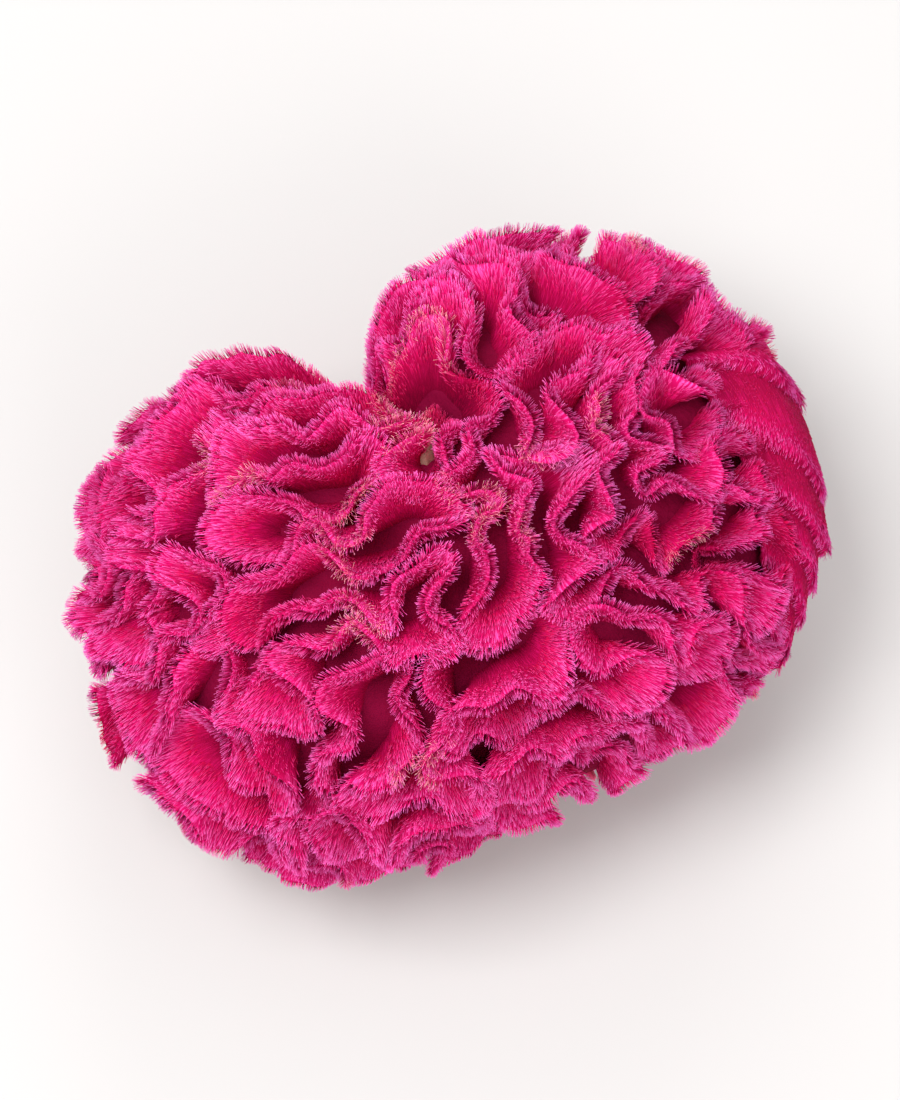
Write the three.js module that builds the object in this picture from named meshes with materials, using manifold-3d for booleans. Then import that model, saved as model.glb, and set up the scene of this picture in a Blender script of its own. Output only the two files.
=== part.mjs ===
// A cut flower head of cockscomb celosia, standing on its short cut stalk.
//
// The crest is one long velvet edge, folded back and forth over a kidney-shaped dome and down to
// its skirt, with deep grooves between the folds. Below it the ribbed, flattened stalk widens like
// a trumpet, which rows of small pointed florets cover.
//
// Units are millimetres and +Z is up. The origin is on the surface that the cut end stands on,
// under the middle of the whole head.

import * as THREE from "three";
import Module from "manifold-3d";

const wasm = await Module();
wasm.setup();

// ---------------------------------------------------------------------------------------------
// Driving dimensions
// ---------------------------------------------------------------------------------------------

// The dome that the crest's edge lies on, about its own centre.
const head = {
  centreHeight: 46, // above the cut end
  axis: [-1.24, 1.64], // the stalk's place, so that the origin is under the middle of the head
  topHeight: 58,
  skirtDrop: 30,
  squareness: 0.35, // 0 is an ellipsoid, 1 a block with round edges
  outlineMean: 94, // radius of the outline seen from above, with four harmonics
  outlineCos: [-3, 7.5, 2.4, -0.6],
  outlineSin: [3, 8.3, 0.5, -0.9],
  notchCos: -0.5592, // the cleft between the two lobes, at 124 degrees
  notchSin: 0.829,
  notchDepth: 34,
  notchWidth: 0.35,
  furrowFrom: [-46, 66], // the cleft runs on over the top as a furrow
  furrowTo: [-8, 22],
  furrowDepth: 0.22,
  furrowHalf: 10,
};

// The crest's edge: a closed line that is laid out as a maze and then grows in its place.
const rim = {
  seed: 6,
  halfCells: 7,
  cell: 0.27,
  mapEdge: 1.55,
  mapRadius: 90,
  pull: 0.12,
  swirl: 0.6,
  jitter: 0.9,
  pointsPerLink: 3,
  gap: 10.5, // between neighbouring passes
  step: 3, // between points along the edge
  growRounds: 26,
  rounds: 40,
  growth: 0.025,
  steps: 5,
  spring: 0.35,
  bend: 0.25,
  push: 0.5,
  mostMove: 0.8,
  skip: 4,
  lowest: -17, // the skirt's edge, below the dome's centre
};

// A slow, irregular drift of the whole pattern, so that the folds don't run in step.
const drift = {
  seed: 92,
  waves: 6,
  wavelength: 28,
  size: 3,
};

// The plush folds under the edge, seen in section: two feet, two lips and the crown between them.
const fold = {
  seed: 9,
  step: 5.8, // between sections
  waveTerms: 12,
  lift: 3, // the edge rises and dips by about this much
  liftWave: 60,
  sway: 0.8, // and swings sideways by this much
  swayWave: 22,
  flare: 0.15, // lips lean out round each bend
  flareSmooth: 20,
  lipShare: 0.36, // of the room between neighbouring passes, from the middle of a fold to its lip
  footShare: 0.43,
  mostRoom: 11.5,
  bendRoom: 0.8, // how much of a tight bend a fold may fill
  roomSkip: 3, // sections along the edge that don't count as neighbours
  crownRise: 1.5,
  lipRise: 0.2,
  tuft: 0.55, // tufts of plush stand up by turns along the lips
  depth: 13, // of the grooves
};

// The underside, between the skirt and the stalk, from the dome's centre.
const belly = {
  heart: -30, // every point of the folds is in sight of this height on the axis
  hemHeight: -25, // where the folded part ends
  hemPoints: 72,
  bottom: -26.5,
};

// A flattened stalk that widens like a trumpet till it has the head's own outline.
const stalk = {
  turn: (24 * Math.PI) / 180, // its flat side follows the head's long axis
  halfWidth: 24,
  halfDepth: 15,
  neckHeight: 7, // it starts to widen here
  mouthHeight: 18.3,
  mouthShare: 0.6, // of the head's outline
  topHeight: 32,
  topShare: 0.52,
  flares: 6, // rings from the neck to the mouth
  ribs: 13,
  ribDepth: 0.05, // share of the radius
  around: 65,
  seat: 0.3, // clearance between the stalk and the crest
};

// Small pointed florets, one row on each ring of the trumpet.
const floret = {
  spacing: 10,
  length: 9.5,
  halfWidth: 3.9,
  root: 1.3, // how deep its base is sunk
  ridge: 1.7,
  tipRise: 1.3,
};

const CREST = new THREE.MeshStandardMaterial({ color: 0xc4256a, roughness: 0.75, metalness: 0 });
const STALK = new THREE.MeshStandardMaterial({ color: 0x9fae62, roughness: 0.6, metalness: 0 });

// ---------------------------------------------------------------------------------------------
// The dome
// ---------------------------------------------------------------------------------------------

function outlineRadius(c, s) {
  let radius = head.outlineMean;
  let cn = 1;
  let sn = 0;
  for (let n = 0; n < head.outlineCos.length; n++) {
    [cn, sn] = [cn * c - sn * s, sn * c + cn * s];
    radius = radius + (head.outlineCos[n] * cn + head.outlineSin[n] * sn);
  }
  const apart = 2 - 2 * (c * head.notchCos + s * head.notchSin);
  return radius - head.notchDepth / (1 + apart / (head.notchWidth * head.notchWidth));
}

// How far out a point lies, 1 on the dome without its furrow.
function reach(x, y, z) {
  const flat = Math.sqrt(x * x + y * y);
  const safe = Math.max(flat, 1e-9);
  const across = flat / outlineRadius(x / safe, y / safe);
  const up = z / (z > 0 ? head.topHeight : head.skirtDrop);
  const a2 = across * across;
  const u2 = up * up;
  const soft = Math.sqrt(a2 + u2);
  const square = Math.sqrt(Math.sqrt(a2 * a2 + u2 * u2));
  return (1 - head.squareness) * soft + head.squareness * square;
}

// 1 on the furrow's floor at its mouth, falling off to both sides and towards its inner end.
function furrow(x, y) {
  const [ax, ay] = head.furrowFrom;
  const [bx, by] = head.furrowTo;
  const ex = bx - ax;
  const ey = by - ay;
  const along = ((x - ax) * ex + (y - ay) * ey) / (ex * ex + ey * ey);
  const t = Math.min(Math.max(along, 0), 1);
  const dx = x - ax - t * ex;
  const dy = y - ay - t * ey;
  return (1 - 0.6 * t) / (1 + (dx * dx + dy * dy) / (head.furrowHalf * head.furrowHalf));
}

function ontoHead([px, py, pz]) {
  const out = reach(px, py, pz);
  const x = px / out;
  const y = py / out;
  const z = pz / out;
  const k = 1 - head.furrowDepth * furrow(x, y);
  return [x * k, y * k, z * k];
}

// Outward normal of the dome, from how fast the reach changes across a point.
function headNormal(p) {
  const level = (q) => {
    const out = reach(...q);
    return out / (1 - head.furrowDepth * furrow(q[0] / out, q[1] / out));
  };
  const half = 0.5;
  const slope = [0, 1, 2].map((k) => {
    const ahead = [...p];
    const behind = [...p];
    ahead[k] += half;
    behind[k] -= half;
    return level(ahead) - level(behind);
  });
  return unit(slope);
}

// ---------------------------------------------------------------------------------------------
// Small vector helpers on [x, y, z]
// ---------------------------------------------------------------------------------------------

function add(a, b, share = 1) {
  return [a[0] + b[0] * share, a[1] + b[1] * share, a[2] + b[2] * share];
}

function less(a, b) {
  return [a[0] - b[0], a[1] - b[1], a[2] - b[2]];
}

function dot(a, b) {
  return a[0] * b[0] + a[1] * b[1] + a[2] * b[2];
}

function cross(a, b) {
  return [a[1] * b[2] - a[2] * b[1], a[2] * b[0] - a[0] * b[2], a[0] * b[1] - a[1] * b[0]];
}

function unit(a) {
  const long = Math.max(Math.sqrt(dot(a, a)), 1e-9);
  return [a[0] / long, a[1] / long, a[2] / long];
}

function wrap(i, count) {
  return ((i % count) + count) % count;
}

// A seeded draw from 0 to 1.
function makeDice(seed) {
  let state = seed;
  return () => {
    state = (state * 16807) % 2147483647;
    return state / 2147483647;
  };
}

// A closed solid from points, and triangles that share them.
function solidOf(points, triangles) {
  const mesh = new wasm.Mesh({
    numProp: 3,
    vertProperties: new Float32Array(points.flat()),
    triVerts: new Uint32Array(triangles.flat()),
  });
  return new wasm.Manifold(mesh);
}

// ---------------------------------------------------------------------------------------------
// The crest's edge
// ---------------------------------------------------------------------------------------------

// A closed walk round a random tree of square cells, so that it fills a disc without crossing itself.
function mazeWalk(dice) {
  const cells = [];
  const cellAt = new Map();
  const spot = (x, y) => x + "," + y;
  for (let y = -rim.halfCells; y < rim.halfCells; y++) {
    for (let x = -rim.halfCells; x < rim.halfCells; x++) {
      const cx = (x + 0.5) * rim.cell;
      const cy = (y + 0.5) * rim.cell;
      if (cx * cx + cy * cy < rim.mapEdge * rim.mapEdge) {
        cellAt.set(spot(x, y), cells.length);
        cells.push([x, y]);
      }
    }
  }

  const front = [Math.floor(cells.length / 2)];
  const taken = new Set(front);
  const doors = [];
  while (front.length) {
    const k = Math.floor(dice() * front.length);
    const [x, y] = cells[front[k]];
    const free = [
      [1, 0],
      [0, 1],
      [-1, 0],
      [0, -1],
    ]
      .map(([a, b]) => cellAt.get(spot(x + a, y + b)))
      .filter((cell) => cell !== undefined && !taken.has(cell));
    if (!free.length) {
      front.splice(k, 1);
      continue;
    }
    const chosen = free[Math.floor(dice() * free.length)];
    doors.push([front[k], chosen]);
    taken.add(chosen);
    front.push(chosen);
  }

  const links = new Map();
  const link = (a, b) => {
    for (const [from, to] of [
      [a, b],
      [b, a],
    ]) {
      if (!links.has(from)) links.set(from, []);
      links.get(from).push(to);
    }
  };
  const cut = (a, b) => {
    links.get(a).splice(links.get(a).indexOf(b), 1);
    links.get(b).splice(links.get(b).indexOf(a), 1);
  };
  const corner = (x, y, right, up) => spot(2 * x + right, 2 * y + up);
  for (const [x, y] of cells) {
    link(corner(x, y, 0, 0), corner(x, y, 1, 0));
    link(corner(x, y, 1, 0), corner(x, y, 1, 1));
    link(corner(x, y, 1, 1), corner(x, y, 0, 1));
    link(corner(x, y, 0, 1), corner(x, y, 0, 0));
  }
  for (const [i, j] of doors) {
    let [[x, y], [u, v]] = [cells[i], cells[j]];
    if (u < x || v < y) [x, y, u, v] = [u, v, x, y];
    const [r, t] = u > x ? [1, 0] : [0, 1];
    cut(corner(x, y, r, t), corner(x, y, 1, 1));
    cut(corner(u, v, 0, 0), corner(u, v, t, r));
    link(corner(x, y, r, t), corner(u, v, 0, 0));
    link(corner(x, y, 1, 1), corner(u, v, t, r));
  }

  const first = links.keys().next().value;
  const walk = [];
  let before = null;
  let here = first;
  do {
    walk.push(here.split(",").map(Number));
    const [p, q] = links.get(here);
    [before, here] = [here, p !== before ? p : q];
  } while (here !== first);
  return walk;
}

// The maze's corners on the dome, through an equal-area map with a slow swirl.
function mazeOnHead(dice) {
  const half = rim.cell / 2;
  return mazeWalk(dice).map(([a, b]) => {
    let x = (a + 0.5 + rim.jitter * (dice() - 0.5)) * half;
    let y = (b + 0.5 + rim.jitter * (dice() - 0.5)) * half;
    const pull = 1 - rim.pull * (1 - (x * x + y * y) / (rim.mapEdge * rim.mapEdge));
    x *= pull;
    y *= pull;
    const turn = rim.swirl * (x * x + y * y);
    const long = Math.sqrt(1 + turn * turn);
    [x, y] = [(x - turn * y) / long, (x * turn + y) / long];
    const out = Math.sqrt(Math.max(0, 1 - (x * x + y * y) / 4)) * rim.mapRadius;
    const z = 1 - (x * x + y * y) / 2;
    return ontoHead([x * out, y * out, z * (z > 0 ? head.topHeight : head.skirtDrop)]);
  });
}

// Pairs of points that may come within the gap of each other, apart from neighbours on the line.
function closePairs(line) {
  const near = rim.gap + 3;
  const pairs = [];
  for (let i = 0; i < line.length; i++) {
    for (let j = i + rim.skip; j < line.length; j++) {
      if (line.length - (j - i) < rim.skip) continue;
      const d = less(line[j], line[i]);
      if (dot(d, d) < near * near) pairs.push([i, j]);
    }
  }
  return pairs;
}

// One small move of every point: apart from other passes, evenly spaced, smooth, on the dome.
function settle(line, pairs) {
  const count = line.length;
  const pushed = line.map(() => [0, 0, 0]);
  const pushedBack = line.map(() => [0, 0, 0]);
  for (const [i, j] of pairs) {
    const d = less(line[j], line[i]);
    const apart = Math.sqrt(dot(d, d));
    if (apart >= rim.gap) continue;
    const force = (rim.push * (rim.gap - apart)) / rim.gap / (apart + 0.01);
    for (let t = 0; t < 3; t++) {
      pushed[j][t] += force * d[t];
      pushedBack[i][t] += force * d[t];
    }
  }
  return line.map((p, i) => {
    const before = line[wrap(i - 1, count)];
    const after = line[wrap(i + 1, count)];
    const move = [0, 0, 0];
    for (const next of [before, after]) {
      const d = less(next, p);
      const apart = Math.sqrt(dot(d, d));
      const force = (rim.spring * (apart - rim.step)) / (apart + 0.01);
      for (let t = 0; t < 3; t++) move[t] += force * d[t];
    }
    for (let t = 0; t < 3; t++) {
      const middle = (before[t] + after[t]) / 2;
      move[t] += rim.bend * (middle - p[t]) + (pushed[i][t] - pushedBack[i][t]);
    }
    const far = Math.sqrt(dot(move, move));
    const share = far > rim.mostMove ? rim.mostMove / far : 1;
    const moved = [p[0] + move[0] * share, p[1] + move[1] * share, p[2] + move[2] * share];
    moved[2] = Math.max(moved[2], rim.lowest);
    return ontoHead(moved);
  });
}

function growRim() {
  const dice = makeDice(rim.seed);
  for (let i = 0; i < 5; i++) dice();
  const corners = mazeOnHead(dice);
  let line = [];
  corners.forEach((p, i) => {
    const next = corners[wrap(i + 1, corners.length)];
    for (let k = 0; k < rim.pointsPerLink; k++) {
      line.push(ontoHead(add(p, less(next, p), k / rim.pointsPerLink)));
    }
  });
  for (let round = 0; round < rim.rounds; round++) {
    const fresh = round < rim.growRounds ? Math.ceil(line.length * rim.growth) : 0;
    for (let k = 0; k < fresh; k++) {
      const i = Math.floor(dice() * line.length);
      const p = line[i];
      const q = line[wrap(i + 1, line.length)];
      line.splice(i + 1, 0, [(p[0] + q[0]) / 2, (p[1] + q[1]) / 2, (p[2] + q[2]) / 2]);
    }
    const pairs = closePairs(line);
    for (let k = 0; k < rim.steps; k++) line = settle(line, pairs);
  }
  return line;
}

// ---------------------------------------------------------------------------------------------
// The folds
// ---------------------------------------------------------------------------------------------

// Each point drawn halfway to the middle of its neighbours, so many times.
function smoothed(line, times) {
  let now = line;
  for (let k = 0; k < times; k++) {
    now = now.map((p, i) => {
      const middle = add(now[wrap(i - 1, now.length)], now[wrap(i + 1, now.length)]).map((v) => v / 2);
      return add(p, less(middle, p), 0.5);
    });
  }
  return now;
}

// The closed line again, with its points evenly spaced.
function evenly(line, step) {
  const travelled = [0];
  line.forEach((p, i) => {
    const d = less(line[wrap(i + 1, line.length)], p);
    travelled.push(travelled[i] + Math.sqrt(dot(d, d)));
  });
  const length = travelled[line.length];
  const count = Math.floor(length / step + 0.5);
  const out = [];
  let k = 0;
  for (let i = 0; i < count; i++) {
    const at = (i * length) / count;
    while (travelled[k + 1] < at) k++;
    const share = (at - travelled[k]) / (travelled[k + 1] - travelled[k]);
    const next = line[wrap(k + 1, line.length)];
    out.push(add(line[k], less(next, line[k]), share));
  }
  return { points: out, length };
}

// A smooth irregular wave round the closed line, about -1 to 1.
function makeWave(dice, length, wavelength) {
  const terms = [];
  for (let i = 0; i < fold.waveTerms; i++) {
    const turns = Math.max(1, Math.floor((length / wavelength) * (0.6 + 0.9 * dice()) + 0.5));
    terms.push({ turns, size: 0.5 + 0.5 * dice(), shift: dice() });
  }
  return (at) => {
    let sum = 0;
    for (const { turns, size, shift } of terms) {
      sum += size * Math.sin(2 * Math.PI * ((turns * at) / length + shift));
    }
    return sum / Math.sqrt(fold.waveTerms / 2);
  };
}

function tangents(line) {
  return line.map((_, i) => unit(less(line[wrap(i + 1, line.length)], line[wrap(i - 1, line.length)])));
}

// Moves a point by a sum of waves, each of which slides things sideways to its own direction.
function makeDrift() {
  const dice = makeDice(drift.seed);
  for (let i = 0; i < 5; i++) dice();
  const anyWay = () => [dice() * 2 - 1, dice() * 2 - 1, dice() * 2 - 1];
  const waves = [];
  for (let i = 0; i < drift.waves; i++) {
    const way = unit(anyWay());
    const long = drift.wavelength * (0.7 + 0.6 * dice());
    const slide = anyWay();
    waves.push({ way, long, slide: unit(add(slide, way, -dot(slide, way))), phase: dice() });
  }
  const size = drift.size / Math.sqrt(drift.waves / 2);
  return (p) =>
    waves.reduce((moved, { way, long, slide, phase }) => {
      return add(moved, slide, size * Math.sin(2 * Math.PI * (dot(p, way) / long + phase)));
    }, p);
}

// The edge's line as the folds follow it: drifted, swaying, and flared round each bend.
function foldLine() {
  const drifted = growRim().map(makeDrift()).map(ontoHead);
  const { points, length } = evenly(smoothed(drifted, 3), fold.step);
  const along = tangents(points);
  const calm = smoothed(points, fold.flareSmooth);
  const dice = makeDice(fold.seed);
  const lift = makeWave(dice, length, fold.liftWave);
  const sway = makeWave(dice, length, fold.swayWave);
  const at = (i) => (i * length) / points.length;
  const line = points.map((p, i) => {
    const side = unit(cross(along[i], headNormal(p)));
    const swung = add(p, side, fold.sway * sway(at(i)));
    return ontoHead(add(swung, less(p, calm[i]), fold.flare));
  });
  return { line, lifts: line.map((_, i) => fold.lift * lift(at(i))) };
}

// How wide a fold may be at each point: the way to the nearest other pass, or less in a tight bend.
function roomAlong(line) {
  const count = line.length;
  const rooms = line.map((p, i) => {
    const before = unit(less(p, line[wrap(i - 1, count)]));
    const after = unit(less(line[wrap(i + 1, count)], p));
    const bend = Math.acos(Math.min(dot(before, after), 1));
    let room = Math.min(fold.mostRoom, (fold.bendRoom * fold.step) / Math.tan(Math.max(bend, 0.01) / 2));
    line.forEach((q, j) => {
      if (Math.min(wrap(i - j, count), wrap(j - i, count)) < fold.roomSkip) return;
      const d = less(q, p);
      room = Math.min(room, Math.sqrt(dot(d, d)));
    });
    return room;
  });
  return rooms.map((room, i) => Math.min(rooms[wrap(i - 1, count)], room, rooms[wrap(i + 1, count)]));
}

// A point moved outwards on the ray from the heart.
function raised(p, height) {
  const ray = less(p, [0, 0, belly.heart]);
  return add([0, 0, belly.heart], ray, 1 + height / Math.sqrt(dot(ray, ray)));
}

// Where the ray from the heart to a point meets a level plane.
function mapOf(p) {
  const up = p[2] - belly.heart;
  return new THREE.Vector2(p[0] / up, p[1] / up);
}

// Five rows of points along the folds: left foot, left lip, crown, right lip, right foot.
function foldRows() {
  const { line, lifts } = foldLine();
  const along = tangents(line);
  const rooms = roomAlong(line);
  const rows = [[], [], [], [], []];
  line.forEach((p, i) => {
    const side = unit(cross(along[i], headNormal(p)));
    const tuft = i % 2 ? fold.tuft : -fold.tuft;
    const place = (share, height) => raised(ontoHead(add(p, side, share * rooms[i])), height);
    rows[0].push(place(-fold.footShare, -fold.depth));
    rows[1].push(place(-fold.lipShare, lifts[i] + fold.lipRise + tuft));
    rows[2].push(place(0, lifts[i] + fold.crownRise));
    rows[3].push(place(fold.lipShare, lifts[i] + fold.lipRise - tuft));
    rows[4].push(place(fold.footShare, -fold.depth));
  });
  return rows;
}

// The hem: a ring round the underside.
function hemRing() {
  const ring = [];
  for (let i = 0; i < belly.hemPoints; i++) {
    const turn = (2 * Math.PI * i) / belly.hemPoints;
    const [c, s] = [Math.cos(turn), Math.sin(turn)];
    let radius = 0;
    // The dome's radius at the hem's height, from outside in.
    for (let r = outlineRadius(c, s); r > 1; r -= 0.25) {
      if (reach(c * r, s * r, belly.hemHeight) > 1) continue;
      radius = r;
      break;
    }
    ring.push([c * radius, s * radius, belly.hemHeight]);
  }
  return ring;
}

// The whole head as one closed surface: folds, the floors of the grooves between them, and the underside.
function crestSolid() {
  const rows = foldRows();
  const count = rows[0].length;
  const hem = hemRing();
  const points = [...rows.flat(), ...hem, [0, 0, belly.bottom]];
  const maps = points.map(mapOf);
  const triangles = [];
  const areaOf = (a, b, c) => maps[b].clone().sub(maps[a]).cross(maps[c].clone().sub(maps[a]));
  const facingOut = (a, b, c) => triangles.push(areaOf(a, b, c) > 0 ? [a, b, c] : [a, c, b]);
  for (let row = 0; row + 1 < rows.length; row++) {
    for (let i = 0; i < count; i++) {
      const [a, b] = [row * count + i, row * count + wrap(i + 1, count)];
      const [c, d] = [b + count, a + count];
      const cut = areaOf(a, b, c) * areaOf(a, c, d) > 0 ? [a, b, c, d] : [b, c, d, a];
      facingOut(cut[0], cut[1], cut[2]);
      facingOut(cut[0], cut[2], cut[3]);
    }
  }

  const leftFeet = rows[0].map((_, i) => i);
  const rightFeet = leftFeet.map((i) => i + 4 * count);
  const hemIds = hem.map((_, i) => 5 * count + i);
  const flat = (ids) => ids.map((i) => maps[i]);
  const size = (ids) => Math.abs(THREE.ShapeUtils.area(flat(ids)));
  const [within, around] = size(leftFeet) < size(rightFeet) ? [leftFeet, rightFeet] : [rightFeet, leftFeet];
  for (const [a, b, c] of THREE.ShapeUtils.triangulateShape(flat(within), [])) {
    facingOut(within[a], within[b], within[c]);
  }
  const outside = [...hemIds, ...around];
  for (const [a, b, c] of THREE.ShapeUtils.triangulateShape(flat(hemIds), [flat(around)])) {
    facingOut(outside[a], outside[b], outside[c]);
  }
  hemIds.forEach((id, i) => triangles.push([points.length - 1, hemIds[wrap(i + 1, hemIds.length)], id]));
  return solidOf(points.map((p) => add(p, [0, 0, head.centreHeight])), triangles);
}

// ---------------------------------------------------------------------------------------------
// The stalk and its florets
// ---------------------------------------------------------------------------------------------

// A closed surface from rings of points, each ring the same count, closed by a point at each end.
function ringsToSolid(low, rings, high) {
  const around = rings[0].length;
  const points = [low, ...rings.flat(), high];
  const at = (ring, i) => 1 + ring * around + wrap(i, around);
  const triangles = [];
  for (let i = 0; i < around; i++) {
    triangles.push([0, at(0, i + 1), at(0, i)]);
    triangles.push([points.length - 1, at(rings.length - 1, i), at(rings.length - 1, i + 1)]);
    for (let r = 0; r + 1 < rings.length; r++) {
      triangles.push([at(r, i), at(r, i + 1), at(r + 1, i + 1)]);
      triangles.push([at(r, i), at(r + 1, i + 1), at(r + 1, i)]);
    }
  }
  return solidOf(points, triangles);
}

// A point on the stalk's side: the ribbed oval, which turns into the head's outline as it widens.
function onStalk(turn, height, share, lobes) {
  const own = turn - stalk.turn;
  const oval = 1 / Math.hypot(Math.cos(own) / stalk.halfWidth, Math.sin(own) / stalk.halfDepth);
  const lobed = outlineRadius(Math.cos(turn), Math.sin(turn)) * lobes;
  const rib = 1 + stalk.ribDepth * Math.cos(stalk.ribs * own);
  const radius = rib * (oval + (lobed - oval) * share);
  return [radius * Math.cos(turn), radius * Math.sin(turn), height];
}

// A point on the trumpet, from the neck at 0 to the mouth at 1.
function onTrumpet(turn, along) {
  const rise = (stalk.mouthHeight - stalk.neckHeight) * Math.sin((along * Math.PI) / 2);
  return onStalk(turn, stalk.neckHeight + rise, 1 - Math.cos((along * Math.PI) / 2), stalk.mouthShare);
}

function stalkSolid(grow) {
  const profile = [(turn) => onStalk(turn, 0, 0, 0)];
  for (let k = 0; k <= stalk.flares; k++) profile.push((turn) => onTrumpet(turn, k / stalk.flares));
  profile.push((turn) => onStalk(turn, stalk.topHeight + grow, 1, stalk.topShare));
  const rings = profile.map((place) => {
    const ring = [];
    for (let i = 0; i < stalk.around; i++) {
      const turn = (2 * Math.PI * i) / stalk.around;
      ring.push(add(place(turn), [Math.cos(turn), Math.sin(turn), 0], grow));
    }
    return ring;
  });
  return ringsToSolid([0, 0, 0], rings, [0, 0, stalk.topHeight + grow]);
}

// One pointed floret that lies along the trumpet, its base sunk in it.
function floretSolid(turn, along) {
  const step = 0.02;
  const seat = onTrumpet(turn, along);
  const out = unit(less(onTrumpet(turn, along + step), seat));
  const aside = unit(less(onTrumpet(turn + step, along), seat));
  const down = unit(cross(out, aside));
  const base = add(add(seat, out, -1), down, -floret.root);
  const points = [
    add(base, aside, floret.halfWidth),
    add(base, aside, -floret.halfWidth),
    add(seat, down, floret.ridge),
    add(add(seat, out, floret.length), down, floret.tipRise),
  ];
  return solidOf(points, [
    [0, 1, 2],
    [1, 3, 2],
    [0, 2, 3],
    [1, 0, 3],
  ]);
}

function floretRows() {
  const out = [];
  for (let row = 1; row < stalk.flares; row++) {
    const along = row / stalk.flares;
    const [x, y] = onTrumpet(stalk.turn, along);
    const count = Math.round((2 * Math.PI * Math.hypot(x, y)) / floret.spacing);
    const start = (row % 2) / 2;
    for (let i = 0; i < count; i++) out.push(floretSolid((2 * Math.PI * (i + start)) / count, along));
  }
  return out;
}

// ---------------------------------------------------------------------------------------------
// The two pieces
// ---------------------------------------------------------------------------------------------

// The outer body alone, so that small hollows sealed between florets are filled.
function filled(solid) {
  return solid.decompose().reduce((most, body) => (body.volume() > most.volume() ? body : most));
}

function meshOf(name, solid, material) {
  const { vertProperties, triVerts } = solid.getMesh();
  const geometry = new THREE.BufferGeometry();
  geometry.setAttribute("position", new THREE.BufferAttribute(vertProperties, 3));
  geometry.setIndex(new THREE.BufferAttribute(triVerts, 1));
  geometry.computeVertexNormals();
  const mesh = new THREE.Mesh(geometry, material);
  mesh.name = name;
  mesh.position.set(head.axis[0], head.axis[1], 0);
  return mesh;
}

const crest = crestSolid().subtract(stalkSolid(stalk.seat));
const floretedStalk = floretRows().reduce((joined, one) => joined.add(one), stalkSolid(0));

const flowerHead = new THREE.Group();
flowerHead.name = "cockscomb_celosia";
flowerHead.add(meshOf("crest", crest, CREST));
flowerHead.add(meshOf("stalk", filled(floretedStalk), STALK));

export default flowerHead;
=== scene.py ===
import math

import bpy
import numpy as np
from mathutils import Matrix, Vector


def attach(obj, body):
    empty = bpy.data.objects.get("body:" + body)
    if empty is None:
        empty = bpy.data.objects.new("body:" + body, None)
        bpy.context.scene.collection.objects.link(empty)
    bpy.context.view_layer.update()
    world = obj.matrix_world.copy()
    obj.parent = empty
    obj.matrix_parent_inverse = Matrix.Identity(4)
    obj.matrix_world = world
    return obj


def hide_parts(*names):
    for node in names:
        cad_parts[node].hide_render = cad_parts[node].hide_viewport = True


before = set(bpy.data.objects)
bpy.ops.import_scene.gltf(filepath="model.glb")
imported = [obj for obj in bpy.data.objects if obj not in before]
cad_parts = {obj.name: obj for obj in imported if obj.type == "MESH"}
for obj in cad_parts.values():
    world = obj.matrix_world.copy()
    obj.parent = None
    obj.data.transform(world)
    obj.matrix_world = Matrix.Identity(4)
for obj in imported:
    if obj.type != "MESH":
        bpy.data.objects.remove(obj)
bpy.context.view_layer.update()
bpy.ops.object.select_all(action="DESELECT")


# Lengths are in millimetres till a mesh is made. Points are rows of x, y, z about the dome's centre.

headShape = {
    "centre": (-1.24, 1.64, 46),  # the dome's centre in the object's own frame
    "topHeight": 58,
    "skirtDrop": 30,
    "squareness": 0.35,
    "outlineMean": 94,
    "outlineCos": (-3, 7.5, 2.4, -0.6),
    "outlineSin": (3, 8.3, 0.5, -0.9),
    "notchCos": -0.5592,
    "notchSin": 0.829,
    "notchDepth": 34,
    "notchWidth": 0.35,
    "furrowFrom": (-46, 66),
    "furrowTo": (-8, 22),
    "furrowDepth": 0.22,
    "furrowHalf": 10,
    "furrowFade": 0.6,  # share of its depth that it loses on its way in
    "heart": -30,  # the folds all point away from this height on the axis
}


def makeDice(seed, warmUp=5):
    state = [seed]

    def dice():
        state[0] = (state[0] * 16807) % 2147483647
        return state[0] / 2147483647

    for _ in range(warmUp):
        dice()
    return dice


def unit(v):
    return v / np.maximum(np.sqrt((v * v).sum(-1, keepdims=True)), 1e-9)


def lengthOf(v):
    return np.sqrt(v[:, 0] * v[:, 0] + v[:, 1] * v[:, 1] + v[:, 2] * v[:, 2])


def fromHeart(points):  # the way out of the heart through each point
    return unit(points - (0, 0, headShape["heart"]))


def nearTo(points, across, back, reachOut):  # 1 above a spot, less and less round it
    return np.exp(-((points[:, :2] - (across, back)) ** 2).sum(1) / reachOut**2)


def smoothStep(share):
    return share * share * (3 - 2 * share)


def outlineRadius(c, s):
    radius = headShape["outlineMean"]
    cn, sn = 1.0, 0.0
    for cosSize, sinSize in zip(headShape["outlineCos"], headShape["outlineSin"]):
        cn, sn = cn * c - sn * s, sn * c + cn * s
        radius = radius + (cosSize * cn + sinSize * sn)
    apart = 2 - 2 * (c * headShape["notchCos"] + s * headShape["notchSin"])
    width = headShape["notchWidth"]
    return radius - headShape["notchDepth"] / (1 + apart / (width * width))


def reach(x, y, z):  # 1 on the dome without its furrow
    flat = np.sqrt(x * x + y * y)
    safe = np.maximum(flat, 1e-9)
    across = flat / outlineRadius(x / safe, y / safe)
    up = z / np.where(z > 0, headShape["topHeight"], headShape["skirtDrop"])
    a2, u2 = across * across, up * up
    soft = np.sqrt(a2 + u2)
    square = np.sqrt(np.sqrt(a2 * a2 + u2 * u2))
    return (1 - headShape["squareness"]) * soft + headShape["squareness"] * square


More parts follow.
